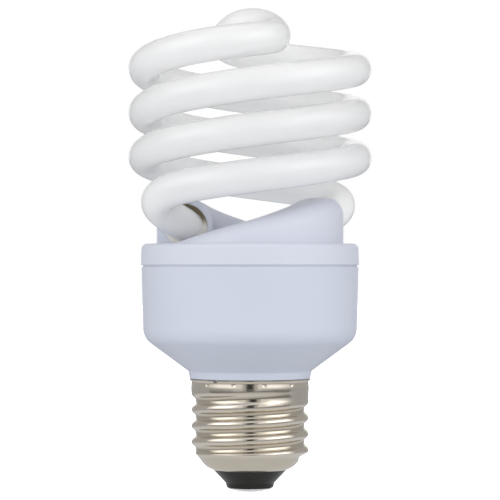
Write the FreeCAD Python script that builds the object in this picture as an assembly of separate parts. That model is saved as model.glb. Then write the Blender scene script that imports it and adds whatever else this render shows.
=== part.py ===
import FreeCAD, Part
import math
import os

# A spiral energy saving lamp on a screw cap. Millimetres and degrees.
# The axis is Z, and heights run up from the tip of the centre contact.

# Glass spiral
OVERALL_LENGTH = 109.0
TUBE_DIAMETER = 7.5
COIL_DIAMETER = 55.0        # over the outside of the glass
COIL_PITCH = 20.0           # rise of one strand in a turn, with two strands interleaved
COIL_STANDOFF = 9.5         # lowest turn's middle above the cover's flange
BRIDGE_RISE = 6.8           # from the end of the regular turns to the top of the bridge
BRIDGE_CLIMB_START = 0.6    # share of the bridge's half that keeps the slope of the turns
END_BEND_ANGLE = 60.0       # part of a turn in which a strand leaves the coil for its socket
END_BEND_PULL = 19.0        # how far the coil's direction carries into that bend
SOCKET_PULL = 5.0           # how far the socket's direction carries into that bend
END_INWARD_ANGLE = 22.0     # the straight end points this much towards the axis
END_DROP_ANGLE = 15.0       # and this much downwards
END_RUN = 7.0
PRESS_LENGTH = 4.5          # flattened seal at each end
PRESS_THICKNESS = 2.2

# Cover
FLANGE_OVERHANG = 0.15      # beyond the housing's wall
FLANGE_DRAFT = 0.15         # the flange is narrower by this at its top
FLANGE_HEIGHT = 4.8
FLANGE_FILLET = 1.2
COVER_WALL = 1.2
SOCKET_ANGLE = 180.0        # of one socket round the axis, the other being opposite
HOOD_INSET = 9.7            # from the housing's wall to the middle of each hood
HOOD_SPAN = 180.0           # each hood climbs over half a turn
HOOD_RISE = 10.55
HOOD_TOE_ANGLE = 30.0       # the climb starts this far from the low end
HOOD_LEVEL_ANGLE = 25.0     # and levels out this far before the socket
HOOD_EASE = 0.12            # softness of both changes of slope, as a share of the climb
HOOD_STEPS = 12
HOOD_INNER_FILLET = 6.0
HOOD_OUTER_FILLET = 4.0
SOCKET_CLEARANCE = 1.0      # around the glass
SOCKET_DEPTH_ANGLE = 17.0   # solid stretch of the hood behind its socket
HOOD_TAIL_ANGLE = 14.0      # stretch at the low end that stays solid
SEALANT_RECESS = 2.4        # behind the socket's mouth
SEALANT_LENGTH = 2.4
LIP_LENGTH = 4.0            # the cover's lip reaches this far down into the housing
LIP_THICKNESS = 1.3
LIP_CLEARANCE = 0.15
HOOK_COUNT = 4
HOOK_ANGLE = 22.0
HOOK_HEIGHT = 1.0
HOOK_INSET = 0.6            # above the lip's lower edge
HOOK_REACH = 0.6
HOOK_CLEARANCE = 0.15
SEAM_GAP = 0.4              # groove between housing and cover
SEAM_DEPTH = 0.3

# Ballast housing
HOUSING_HEIGHT = 25.1       # from the neck's lower edge to the seam
HOUSING_RADIUS = 24.45      # at the seam
HOUSING_DRAFT = 0.4         # the wall is narrower by this at its foot
HOUSING_WALL = 1.6
HOUSING_FILLET = 4.2
WALL_HEIGHT = 16.0          # from the corner of the cone up to the seam
NECK_RADIUS = 13.65
NECK_HEIGHT = 1.6
NECK_DRAFT = 0.25
SPIGOT_LENGTH = 3.1         # goes down into the screw shell
SPIGOT_THICKNESS = 1.3
SPIGOT_CLEARANCE = 0.1
LEAD_NOTCH = 2.4            # opening in the spigot for the lead to the shell
RIB_COUNT = 6
RIB_THICKNESS = 1.2
RIB_LENGTH = 1.6
RIB_START_ANGLE = 30.0

# Screw cap
CAP_LENGTH = 25.5           # contact tip to the housing's neck
SHELL_RADIUS = 13.2         # over the thread's crests, and the plain skirt
SHELL_WALL = 0.35
SHELL_TOP_GAP = 0.1         # between the shell's rim and the neck
RIM_HEIGHT = 0.65           # the shell's rim turns out under the neck
RIM_FLARE = 0.4
RIM_FILLET = 0.15
THREAD_PITCH = 3.629
THREAD_DEPTH = 1.0
THREAD_CREST_ANGLE = 180.0  # where a crest passes the height below
THREAD_CREST_HEIGHT = 18.5
THREAD_START = 7.7
THREAD_END = 21.9
THREAD_LEAD_IN = 0.44       # in turns
THREAD_RUN_OUT = 0.5        # in turns
THREAD_STEPS = 6            # sections in a turn
STAKE_COUNT = 12            # dents that fix the shell on the spigot
STAKE_START_ANGLE = 14.0
STAKE_RADIUS = 0.8
STAKE_DEPTH = 0.12
STAKE_INSET = 1.15          # below the rim
CUP_RADIUS = 11.5           # where the thread begins
CUP_FOOT_RADIUS = 10.15
CUP_FOOT_HEIGHT = 5.64
CUP_FILLET = 0.9
LIP_HOLE_RADIUS = 8.35
SHELL_FOOT = 4.9
INSULATOR_FOOT_RADIUS = 5.2
INSULATOR_FOOT = 0.8
INSULATOR_FOOT_HEIGHT = 1.1
INSULATOR_FOOT_DRAFT = 0.3
INSULATOR_FILLET = 0.3
INSULATOR_SEAT = 0.9        # how far the glass reaches over the shell's foot, inside
INSULATOR_INNER_HEIGHT = 2.4
INSULATOR_CLEARANCE = 0.05
CONTACT_RADIUS = 4.75
CONTACT_FLAT_RADIUS = 2.4
CONTACT_DOME = 0.55
SHANK_RADIUS = 1.2
SHANK_CLEARANCE = 0.1
SHANK_HEAD = 0.6

# Ballast board and its parts. Places are shares of the board's radius, seen from above.
BOARD_THICKNESS = 1.6
BOARD_CLEARANCE = 0.1
BOARD_EDGE_GAP = 0.9
LEG_WIDTH = 0.5
LEG_CLEARANCE = 0.1
LEG_STICK_OUT = 1.2
STAND_OFF = 0.4
BULK_CAPACITOR_AT = (0.0, 0.0)
BULK_CAPACITOR_DIAMETER = 9.5
BULK_CAPACITOR_LENGTH = 16.0
BULK_CAPACITOR_LEGS = 3.5
CRIMP_DEPTH = 0.5
CRIMP_WIDTH = 1.0
CRIMP_HEIGHT = 2.0
CHOKE_AT = (-0.542, 0.000)
CHOKE_WIDTH = 12.6
CHOKE_DEPTH = 5.6
CHOKE_HEIGHT = 9.6
CHOKE_YOKE = 1.9
CHOKE_CENTRE_LEG = 3.6
BOBBIN_WALL = 0.6
BOBBIN_BASE = 1.2
BOBBIN_CLEARANCE = 0.1
CHOKE_WINDING = 1.3
TOROID_AT = (0.515, -0.316)
TOROID_DIAMETER = 9.0
TOROID_HOLE = 4.6
TOROID_HEIGHT = 3.6
TOROID_DROP = 2.2
BAND_COUNT = 3
BAND_START_ANGLE = 45.0
BAND_WIDTH = 1.8
BAND_THICKNESS = 0.6
BAND_CLEARANCE = 0.05
TRANSISTORS_AT = ((0.451, 0.126), (0.686, 0.126))
TRANSISTOR_DIAMETER = 4.6
TRANSISTOR_FLAT = 1.3
TRANSISTOR_HEIGHT = 4.8
TRANSISTOR_LEGS = 1.27
TRANSISTOR_DROP = 3.0
DIODES_AT = ((-0.190, 0.510), (-0.018, 0.510), (0.153, 0.510), (0.325, 0.510))
DIODE_DIAMETER = 2.6
DIODE_LENGTH = 5.0
DIODE_SPAN = 8.4
RESONANT_CAPACITOR_AT = (0.023, -0.551)
RESONANT_CAPACITOR_SIZE = (10.0, 4.8, 8.6)
RESONANT_CAPACITOR_LEGS = 7.5
COUPLING_CAPACITOR_AT = (-0.433, -0.542)
COUPLING_CAPACITOR_SIZE = (7.2, 3.6, 7.0)
COUPLING_CAPACITOR_LEGS = 5.0
FILM_FILLET = 0.8
INDUCTOR_AT = (-0.578, 0.488)
INDUCTOR_DIAMETER = 5.8
INDUCTOR_HEIGHT = 7.0
INDUCTOR_DROP = 2.0
INDUCTOR_FLANGE = 1.1
INDUCTOR_CORE_DIAMETER = 2.6
INDUCTOR_WINDING_CLEARANCE = 0.05
INDUCTOR_WINDING_INSET = 0.3
FUSE_RESISTOR_AT = (0.506, 0.451)
FUSE_RESISTOR_DIAMETER = 2.8
FUSE_RESISTOR_LENGTH = 5.6
FUSE_RESISTOR_SPAN = 8.0
DIAC_AT = (-0.108, -0.330)
DIAC_DIAMETER = 1.8
DIAC_LENGTH = 3.6
DIAC_SPAN = 6.0
RESISTORS_AT = ((0.641, 0.370), (0.749, 0.316))
RESISTOR_DIAMETER = 1.7
RESISTOR_LENGTH = 3.4
RESISTOR_SPAN = 5.4

# Leads
POST_WIDTH = 1.0
POST_HEIGHT = 5.0
POST_STICK_OUT = 1.0
POST_CLEARANCE = 0.05
ELECTRODE_SPACING = 3.6
ELECTRODE_DIAMETER = 0.5
ELECTRODE_RUN = 1.2
ELECTRODE_BEND = 1.2
WRAP_HEIGHT = 1.6           # the wire's turns round its post, as one band
WRAP_THICKNESS = 0.7
LEAD_DIAMETER = 1.2
LEAD_BEND = 2.5
LIVE_LEAD_AT = (0.298, -0.108)
NEUTRAL_LEAD_AT = (-0.280, 0.361)
SOLDER_RADIUS = 1.0

# Worked out from the above
AXIS = FreeCAD.Vector(0, 0, 1)
ORIGIN = FreeCAD.Vector(0, 0, 0)
TUBE_RADIUS = TUBE_DIAMETER / 2
COIL_RADIUS = COIL_DIAMETER / 2 - TUBE_RADIUS
SEAM_Z = CAP_LENGTH + HOUSING_HEIGHT
FLANGE_FOOT_Z = SEAM_Z + SEAM_GAP
FLANGE_TOP_Z = FLANGE_FOOT_Z + FLANGE_HEIGHT
COIL_START_Z = FLANGE_TOP_Z + COIL_STANDOFF
BRIDGE_TOP_Z = OVERALL_LENGTH - TUBE_RADIUS
COIL_END_Z = BRIDGE_TOP_Z - BRIDGE_RISE
COIL_SWEEP = 360.0 * (COIL_END_Z - COIL_START_Z) / COIL_PITCH
SOCKET_RADIUS = TUBE_RADIUS + SOCKET_CLEARANCE
HOOD_HALF_WIDTH = SOCKET_RADIUS / math.cos(math.radians(END_INWARD_ANGLE)) + COVER_WALL
FLANGE_RADIUS = HOUSING_RADIUS + FLANGE_OVERHANG
HOOD_RADIUS = HOUSING_RADIUS - HOOD_INSET
HOUSING_BORE = HOUSING_RADIUS - HOUSING_WALL
LIP_RADIUS = HOUSING_BORE - LIP_CLEARANCE
LIP_FOOT_Z = SEAM_Z - LIP_LENGTH
BOARD_TOP_Z = LIP_FOOT_Z - BOARD_CLEARANCE
BOARD_FOOT_Z = BOARD_TOP_Z - BOARD_THICKNESS
CORNER_Z = SEAM_Z - WALL_HEIGHT
CORNER_RADIUS = HOUSING_RADIUS - HOUSING_DRAFT
BOARD_RADIUS = HOUSING_BORE - BOARD_EDGE_GAP
NECK_TOP_Z = CAP_LENGTH + NECK_HEIGHT
SPIGOT_RADIUS = SHELL_RADIUS - SHELL_WALL - SPIGOT_CLEARANCE
SPIGOT_BORE = SPIGOT_RADIUS - SPIGOT_THICKNESS
SPIGOT_FOOT_Z = CAP_LENGTH - SPIGOT_LENGTH
SHELL_TOP_Z = CAP_LENGTH - SHELL_TOP_GAP
INSULATOR_TOP_Z = SHELL_FOOT + SHELL_WALL + INSULATOR_INNER_HEIGHT


def on_board(places):
    return [(BOARD_RADIUS * x, BOARD_RADIUS * y) for x, y in places]


BULK_CAPACITOR_PLACE, CHOKE_PLACE, TOROID_PLACE = on_board((BULK_CAPACITOR_AT, CHOKE_AT, TOROID_AT))
RESONANT_CAPACITOR_PLACE, COUPLING_CAPACITOR_PLACE = on_board((RESONANT_CAPACITOR_AT, COUPLING_CAPACITOR_AT))
INDUCTOR_PLACE, FUSE_RESISTOR_PLACE, DIAC_PLACE = on_board((INDUCTOR_AT, FUSE_RESISTOR_AT, DIAC_AT))
LIVE_LEAD_PLACE, NEUTRAL_LEAD_PLACE = on_board((LIVE_LEAD_AT, NEUTRAL_LEAD_AT))
TRANSISTOR_PLACES = on_board(TRANSISTORS_AT)
DIODE_PLACES = on_board(DIODES_AT)
RESISTOR_PLACES = on_board(RESISTORS_AT)


def at(x, y, z):
    return FreeCAD.Vector(x, y, z)


def polar(radius, angle, z):
    turn = math.radians(angle)
    return at(radius * math.cos(turn), radius * math.sin(turn), z)


def half_turn(shape):
    copy = shape.copy()
    copy.rotate(ORIGIN, AXIS, 180)
    return copy


def corner_arc(entry, corner, leave):
    """The circular arc that touches both arms of a corner, from entry to leave."""
    chord_middle = (entry + leave) * 0.5
    sine = (leave - entry).Length / 2 / (corner - entry).Length
    middle = corner + (chord_middle - corner) * (1 / (1 + sine))
    return Part.Arc(entry, middle, leave).toShape()


def rounded_wire(corners, closed):
    """Straight runs joined by tangent arcs. Each corner is a point and its arc's radius."""
    arcs = []
    for index, (point, radius) in enumerate(corners):
        is_end = not closed and index in (0, len(corners) - 1)
        if is_end or radius == 0:
            arcs.append((point, point, point))
            continue
        back = (corners[index - 1][0] - point).normalize()
        ahead = (corners[(index + 1) % len(corners)][0] - point).normalize()
        reach = radius / math.tan(back.getAngle(ahead) / 2)
        arcs.append((point + back * reach, point, point + ahead * reach))
    edges = []
    for index, (entry, corner, leave) in enumerate(arcs):
        if closed or index > 0:
            run_start = arcs[index - 1][2]
            if (entry - run_start).Length > 1e-6:
                edges.append(Part.LineSegment(run_start, entry).toShape())
        if (leave - entry).Length > 1e-6:
            edges.append(corner_arc(entry, corner, leave))
    return Part.Wire(edges)


def outline(corners):
    """A closed face in the XZ plane from corners of (x, z) or (x, z, fillet)."""
    points = [(at(c[0], 0, c[1]), c[2] if len(c) > 2 else 0) for c in corners]
    return Part.Face(rounded_wire(points, True))


def turned(corners):
    return outline(corners).revolve(ORIGIN, AXIS, 360)


def wire_along(points, bend, diameter):
    """A round wire along points, bent with one radius at each corner."""
    path = rounded_wire([(point, bend) for point in points], False)
    section = Part.Wire([Part.makeCircle(diameter / 2, points[0], points[1] - points[0])])
    return path.makePipeShell([section], True, False)


def block(centre, size, z_foot):
    width, depth, height = size
    return Part.makeBox(width, depth, height, at(centre[0] - width / 2, centre[1] - depth / 2, z_foot))


def tangent_arcs(stations):
    """Arcs, each tangent to the next, through points with given directions: two for each span."""
    edges = []
    for (start, leave), (end, arrive) in zip(stations, stations[1:]):
        chord = end - start
        along = chord.dot(leave + arrive)
        spread = 2 * (1 - leave.dot(arrive))
        reach = (math.sqrt(along ** 2 + spread * chord.dot(chord)) - along) / spread
        first = start + leave * reach
        second = end - arrive * reach
        joint = (first + second) * 0.5
        edges.append(corner_arc(start, first, joint))
        edges.append(corner_arc(joint, second, end))
    return edges


# The glass


def hood_crown(angle):
    """Height of a hood's top at an angle measured up from its low end."""
    share = (angle - HOOD_TOE_ANGLE) / (HOOD_SPAN - HOOD_TOE_ANGLE - HOOD_LEVEL_ANGLE)
    climb = (math.hypot(share, HOOD_EASE) - math.hypot(share - 1, HOOD_EASE) + 1) / 2
    return FLANGE_TOP_Z + HOOD_RISE * climb


def socket_axis():
    """Middle of the left socket's mouth, and the direction of the tube's straight end into it."""
    inward = math.radians(END_INWARD_ANGLE)
    drop = math.radians(END_DROP_ANGLE)
    direction = at(math.sin(inward) * math.cos(drop), math.cos(inward) * math.cos(drop), -math.sin(drop))
    mouth_z = hood_crown(HOOD_SPAN) - COVER_WALL - SOCKET_RADIUS / math.cos(drop)
    return polar(HOOD_RADIUS, SOCKET_ANGLE, mouth_z), direction


def coil_station(sweep):
    """A point of the regular turns and the direction of climb there."""
    angle = SOCKET_ANGLE + sweep
    point = polar(COIL_RADIUS, angle, COIL_START_Z + COIL_PITCH * sweep / 360)
    climb = COIL_PITCH / (2 * math.pi)
    return point, (polar(COIL_RADIUS, angle + 90, climb)).normalize()


def end_bend_stations(steps=2):
    """The bend out of the socket and up into the coil, a cubic curve between two directions."""
    mouth, into_socket = socket_axis()
    coil_point, coil_direction = coil_station(END_BEND_ANGLE)
    first = mouth - into_socket * SOCKET_PULL
    second = coil_point - coil_direction * END_BEND_PULL
    stations = []
    for step in range(steps):
        t = step / steps
        u = 1 - t
        point = mouth * u ** 3 + first * (3 * t * u ** 2) + second * (3 * t ** 2 * u) + coil_point * t ** 3
        slope = (first - mouth) * u ** 2 + (second - first) * (2 * t * u) + (coil_point - second) * t ** 2
        stations.append((point, slope.normalize()))
    return stations


def bridge_station(share):
    """A point of the half bridge: in plan a half circle from the coil in to the axis."""
    angle = math.radians(SOCKET_ANGLE + COIL_SWEEP)
    radius = COIL_RADIUS / 2
    turn = angle + math.pi * share
    plan = at(math.cos(angle) + math.cos(turn), math.sin(angle) + math.sin(turn), 0) * radius
    steady = COIL_PITCH / 4
    if share <= BRIDGE_CLIMB_START:
        rise = steady * share
        slope = steady
    else:
        span = 1 - BRIDGE_CLIMB_START
        low = steady * BRIDGE_CLIMB_START
        u = (share - BRIDGE_CLIMB_START) / span
        climb = BRIDGE_RISE - low
        rise = low + climb * (3 * u ** 2 - 2 * u ** 3) + steady * span * (u - 2 * u ** 2 + u ** 3)
        slope = climb * (6 * u - 6 * u ** 2) / span + steady * (1 - 4 * u + 3 * u ** 2)
    heading = at(-math.sin(turn), math.cos(turn), 0) * (radius * math.pi) + at(0, 0, slope)
    return plan + at(0, 0, COIL_END_Z + rise), heading.normalize()


def strand_stations():
    """One strand, from its socket's mouth to the top of the bridge on the axis."""
    spans = math.ceil((COIL_SWEEP - END_BEND_ANGLE) / 60)
    step = (COIL_SWEEP - END_BEND_ANGLE) / spans
    turns = [coil_station(END_BEND_ANGLE + step * index) for index in range(spans)]
    bridge_steps = 5
    bridge = [bridge_station(index / bridge_steps) for index in range(bridge_steps + 1)]
    return end_bend_stations() + turns + bridge


def press_seal(end, direction):
    """The tube's end, softened and pinched flat between two jaws."""
    across = direction.cross(AXIS).normalize()
    up = across.cross(direction)
    round_end = Part.makeCylinder(TUBE_RADIUS, PRESS_LENGTH, end, direction)
    tip = end + direction * PRESS_LENGTH
    jaw = up * (PRESS_THICKNESS / 2)
    side = [end + up * TUBE_RADIUS, tip + jaw, tip - jaw, end - up * TUBE_RADIUS]
    wedge = Part.Face(Part.makePolygon(side + side[:1]))
    wedge.translate(across * -TUBE_DIAMETER)
    return round_end.common(wedge.extrude(across * (2 * TUBE_DIAMETER)))


def tube_end():
    mouth, direction = socket_axis()
    return mouth + direction * END_RUN, direction


def spiral_tube():
    strand = strand_stations()
    spin = FreeCAD.Rotation(AXIS, 180)
    other = [(spin.multVec(point), spin.multVec(direction) * -1) for point, direction in reversed(strand)]
    end, direction = tube_end()
    mouth = strand[0][0]
    edges = [Part.LineSegment(end, mouth).toShape()]
    edges += tangent_arcs(strand)
    edges += tangent_arcs(other)
    edges.append(Part.LineSegment(spin.multVec(mouth), spin.multVec(end)).toShape())
    section = Part.Wire([Part.makeCircle(TUBE_RADIUS, end, direction)])
    tube = Part.Wire(edges).makePipeShell([section], True, False)
    seal = press_seal(end, direction)
    print("tube length", round(sum(edge.Length for edge in edges), 1), "volume", round(tube.Volume, 1),
          "section times length", round(math.pi * TUBE_RADIUS ** 2 * sum(edge.Length for edge in edges), 1),
          "tightest bend", round(min(edge.Curve.Radius for edge in edges[1:-1]), 2))
    return tube.fuse([seal, half_turn(seal)])


# The cover and what holds the glass in it


def hood(inset, first, last):
    """A tunnel roof that climbs round the axis, deep enough to reach below the cover's plate."""
    half = HOOD_HALF_WIDTH - inset
    low = LIP_FOOT_Z - inset
    sections = []
    for step in range(HOOD_STEPS + 1):
        angle = first + (last - first) * step / HOOD_STEPS
        top = hood_crown(angle) - inset
        section = rounded_wire([
            (at(HOOD_RADIUS - half, 0, low), 0),
            (at(HOOD_RADIUS - half, 0, top), HOOD_INNER_FILLET - inset),
            (at(HOOD_RADIUS + half, 0, top), HOOD_OUTER_FILLET - inset),
            (at(HOOD_RADIUS + half, 0, low), 0),
        ], True)
        section.rotate(ORIGIN, AXIS, SOCKET_ANGLE + angle)
        sections.append(section)
    return Part.makeLoft(sections, True, False)


def tube_cover():
    """Flange, snap lip and two hoods with the sockets that the tube's ends go into."""
    plate_foot = FLANGE_TOP_Z - COVER_WALL
    lip_bore = LIP_RADIUS - LIP_THICKNESS
    seam_radius = HOUSING_RADIUS - SEAM_DEPTH
    cover = turned([
        (lip_bore, LIP_FOOT_Z),
        (LIP_RADIUS, LIP_FOOT_Z),
        (LIP_RADIUS, SEAM_Z),
        (seam_radius, SEAM_Z),
        (seam_radius, FLANGE_FOOT_Z),
        (FLANGE_RADIUS, FLANGE_FOOT_Z),
        (FLANGE_RADIUS - FLANGE_DRAFT, FLANGE_TOP_Z, FLANGE_FILLET),
        (0, FLANGE_TOP_Z),
        (0, plate_foot),
        (lip_bore, plate_foot),
    ])
    above_plate = Part.makeCylinder(FLANGE_RADIUS, OVERALL_LENGTH, at(0, 0, plate_foot))
    roof = hood(0, 0, HOOD_SPAN).common(above_plate)
    tunnel = hood(COVER_WALL, HOOD_TAIL_ANGLE, HOOD_SPAN - SOCKET_DEPTH_ANGLE)
    mouth, direction = socket_axis()
    before_mouth = mouth - direction * TUBE_DIAMETER
    bore = Part.makeCylinder(SOCKET_RADIUS, END_RUN + TUBE_DIAMETER, before_mouth, direction)
    hook_foot = LIP_FOOT_Z + HOOK_INSET
    hook = outline([
        (LIP_RADIUS - LIP_THICKNESS / 2, hook_foot),
        (LIP_RADIUS, hook_foot),
        (LIP_RADIUS + HOOK_REACH, hook_foot + HOOK_HEIGHT),
        (LIP_RADIUS - LIP_THICKNESS / 2, hook_foot + HOOK_HEIGHT),
    ]).revolve(ORIGIN, AXIS, HOOK_ANGLE)
    hooks = []
    for index in range(HOOK_COUNT):
        copy = hook.copy()
        copy.rotate(ORIGIN, AXIS, 360 * index / HOOK_COUNT)
        hooks.append(copy)
    cover = cover.fuse([roof, half_turn(roof)] + hooks)
    return cover.cut([tunnel, half_turn(tunnel), bore, half_turn(bore)])


def tube_sealant():
    """A ring of white sealant in each socket, between the glass and the bore."""
    mouth, direction = socket_axis()
    foot = mouth + direction * SEALANT_RECESS
    ring = Part.makeCylinder(SOCKET_RADIUS, SEALANT_LENGTH, foot, direction)
    ring = ring.cut(Part.makeCylinder(TUBE_RADIUS, SEALANT_LENGTH, foot, direction))
    return Part.makeCompound([ring, half_turn(ring)])


# The housing


def ballast_housing():
    """A bowl with a conical foot, a neck, and a spigot that the screw shell is crimped on."""
    neck_top_radius = NECK_RADIUS + NECK_DRAFT
    slant = (CORNER_RADIUS - neck_top_radius) / (CORNER_Z - NECK_TOP_Z)
    shift = HOUSING_WALL * math.sqrt(1 + slant ** 2)

    def inner_cone_z(radius):
        return NECK_TOP_Z + (radius + shift - neck_top_radius) / slant

    foot_bore = CORNER_RADIUS - HOUSING_WALL
    housing = turned([
        (SPIGOT_BORE, SPIGOT_FOOT_Z),
        (SPIGOT_RADIUS, SPIGOT_FOOT_Z),
        (SPIGOT_RADIUS, CAP_LENGTH),
        (NECK_RADIUS, CAP_LENGTH),
        (neck_top_radius, NECK_TOP_Z),
        (CORNER_RADIUS, CORNER_Z, HOUSING_FILLET),
        (HOUSING_RADIUS, SEAM_Z),
        (HOUSING_BORE, SEAM_Z),
        (HOUSING_BORE, BOARD_FOOT_Z),
        (foot_bore, inner_cone_z(foot_bore), HOUSING_FILLET - HOUSING_WALL),
        (SPIGOT_BORE, inner_cone_z(SPIGOT_BORE)),
    ])
    rib_foot_z = CORNER_Z + HOUSING_FILLET - HOUSING_WALL
    rib_reach = RIB_LENGTH + BOARD_EDGE_GAP + HOUSING_WALL / 4
    rib = Part.makeBox(rib_reach, RIB_THICKNESS, BOARD_FOOT_Z - rib_foot_z,
                       at(BOARD_RADIUS - RIB_LENGTH, -RIB_THICKNESS / 2, rib_foot_z))
    ribs = []
    for index in range(RIB_COUNT):
        copy = rib.copy()
        copy.rotate(ORIGIN, AXIS, RIB_START_ANGLE + 360 * index / RIB_COUNT)
        ribs.append(copy)
    hook_foot = LIP_FOOT_Z + HOOK_INSET
    recess = turned([
        (HOUSING_BORE - LIP_CLEARANCE, hook_foot - HOOK_CLEARANCE),
        (LIP_RADIUS + HOOK_REACH + HOOK_CLEARANCE, hook_foot - HOOK_CLEARANCE),
        (LIP_RADIUS + HOOK_REACH + HOOK_CLEARANCE, hook_foot + HOOK_HEIGHT + HOOK_CLEARANCE),
        (HOUSING_BORE - LIP_CLEARANCE, hook_foot + HOOK_HEIGHT + HOOK_CLEARANCE),
    ])
    notch = Part.makeBox(SPIGOT_RADIUS, LEAD_NOTCH, SPIGOT_LENGTH - SPIGOT_CLEARANCE,
                         at(-SPIGOT_RADIUS - LEAD_DIAMETER, -LEAD_NOTCH / 2, SPIGOT_FOOT_Z))
    return housing.fuse(ribs).cut([recess, notch])


# The screw cap


def thread_sections(inset):
    """Circles up the thread. A circle off the axis, its centre turning, gives a rounded thread."""
    depth = THREAD_DEPTH / 2
    count = math.ceil(THREAD_STEPS * (THREAD_END - THREAD_START) / THREAD_PITCH)
    wires = []
    for index in range(count + 1):
        z = THREAD_START + (THREAD_END - THREAD_START) * index / count
        lead_in = smooth((z - THREAD_START) / (THREAD_LEAD_IN * THREAD_PITCH))
        run_out = smooth((THREAD_END - z) / (THREAD_RUN_OUT * THREAD_PITCH))
        offset = depth * lead_in * run_out
        crest = CUP_RADIUS + (SHELL_RADIUS - CUP_RADIUS) * lead_in
        angle = THREAD_CREST_ANGLE + 360 * (z - THREAD_CREST_HEIGHT) / THREAD_PITCH
        circle = Part.makeCircle(crest - offset - inset, polar(offset, angle, z), AXIS)
        wires.append(Part.Wire([circle]))
    return wires


def smooth(share):
    """From 0 to 1 with a level start and end."""
    share = min(max(share, 0), 1)
    return share * share * (3 - 2 * share)


def shell_skin(inset):
    """One face of the pressed shell: cup, thread, plain skirt and turned-out rim."""
    cup = rounded_wire([
        (at(LIP_HOLE_RADIUS, 0, SHELL_FOOT + inset), 0),
        (at(CUP_FOOT_RADIUS - inset / 2, 0, CUP_FOOT_HEIGHT + inset), CUP_FILLET),
        (at(CUP_RADIUS - inset, 0, THREAD_START), 0),
    ], False)
    skirt_radius = SHELL_RADIUS - inset
    flare_z = SHELL_TOP_Z - RIM_HEIGHT
    skirt = rounded_wire([
        (at(skirt_radius, 0, THREAD_END), 0),
        (at(skirt_radius, 0, flare_z), RIM_FILLET),
        (at(skirt_radius + RIM_FLARE, 0, flare_z + RIM_FLARE), RIM_FILLET),
        (at(skirt_radius + RIM_FLARE, 0, SHELL_TOP_Z), 0),
    ], False)
    thread = Part.makeLoft(thread_sections(inset), False, False)
    pieces = [cup.revolve(ORIGIN, AXIS, 360), thread, skirt.revolve(ORIGIN, AXIS, 360)]
    return [face for piece in pieces for face in piece.Faces]


def screw_shell():
    """Thin pressed metal: an outer and an inner skin joined at the rim and at the foot's hole."""
    wall = at(SHELL_WALL, 0, 0)
    rim_edge = at(SHELL_RADIUS + RIM_FLARE, 0, SHELL_TOP_Z)
    foot_edge = at(LIP_HOLE_RADIUS, 0, SHELL_FOOT)
    rim = Part.LineSegment(rim_edge, rim_edge - wall)
    foot = Part.LineSegment(foot_edge, foot_edge + AXIS * SHELL_WALL)
    edges = [line.toShape().revolve(ORIGIN, AXIS, 360) for line in (rim, foot)]
    faces = shell_skin(0) + shell_skin(SHELL_WALL) + [face for edge in edges for face in edge.Faces]
    sewn = Part.makeCompound(faces)
    sewn.sewShape()
    shell = Part.Solid(sewn.Shells[0])
    if shell.Volume < 0:
        shell.reverse()
    dents = []
    for index in range(STAKE_COUNT):
        centre = polar(SHELL_RADIUS + STAKE_RADIUS - STAKE_DEPTH,
                       STAKE_START_ANGLE + 360 * index / STAKE_COUNT, SHELL_TOP_Z - STAKE_INSET)
        dents.append(Part.makeSphere(STAKE_RADIUS, centre))
    return shell.cut(dents)


def lip_inner_z(radius):
    """Height of the inside of the shell's foot at a radius."""
    share = (radius - LIP_HOLE_RADIUS) / (CUP_FOOT_RADIUS - LIP_HOLE_RADIUS)
    return SHELL_FOOT + SHELL_WALL + (CUP_FOOT_HEIGHT - SHELL_FOOT) * share


def cap_insulator():
    """Black glass, poured into the shell's foot around the contact's shank."""
    bore = SHANK_RADIUS + SHANK_CLEARANCE
    neck = LIP_HOLE_RADIUS - INSULATOR_CLEARANCE
    seat_radius = LIP_HOLE_RADIUS + INSULATOR_SEAT
    seat_z = lip_inner_z(seat_radius) + INSULATOR_CLEARANCE
    foot_top = INSULATOR_FOOT + INSULATOR_FOOT_HEIGHT
    return turned([
        (bore, INSULATOR_FOOT),
        (INSULATOR_FOOT_RADIUS, INSULATOR_FOOT, INSULATOR_FILLET),
        (INSULATOR_FOOT_RADIUS + INSULATOR_FOOT_DRAFT, foot_top, INSULATOR_FILLET),
        (neck, SHELL_FOOT),
        (neck, seat_z),
        (seat_radius, seat_z),
        (seat_radius - INSULATOR_SEAT, INSULATOR_TOP_Z, INSULATOR_FILLET),
        (bore, INSULATOR_TOP_Z),
    ])


def centre_contact():
    """A shallow dome with a small flat tip, and a shank up through the glass."""
    return turned([
        (0, 0),
        (CONTACT_FLAT_RADIUS, 0),
        (CONTACT_RADIUS, CONTACT_DOME),
        (CONTACT_RADIUS, INSULATOR_FOOT),
        (SHANK_RADIUS, INSULATOR_FOOT),
        (SHANK_RADIUS, INSULATOR_TOP_Z + SHANK_HEAD),
        (0, INSULATOR_TOP_Z + SHANK_HEAD),
    ])


# Parts on the ballast board. Each function gives its solids and the places of their legs.


def leg(place, z_from):
    """A square leg from a part below the board, up through it."""
    return block(place, (LEG_WIDTH, LEG_WIDTH, BOARD_TOP_Z + LEG_STICK_OUT - z_from), z_from)


def moved(shape, place, z=0):
    shape.translate(at(place[0], place[1], z))
    return shape


def spaced(place, spacing, count=2, along=(1, 0)):
    """Places in a row about one place."""
    steps = [spacing * (index - (count - 1) / 2) for index in range(count)]
    return [(place[0] + along[0] * step, place[1] + along[1] * step) for step in steps]


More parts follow.
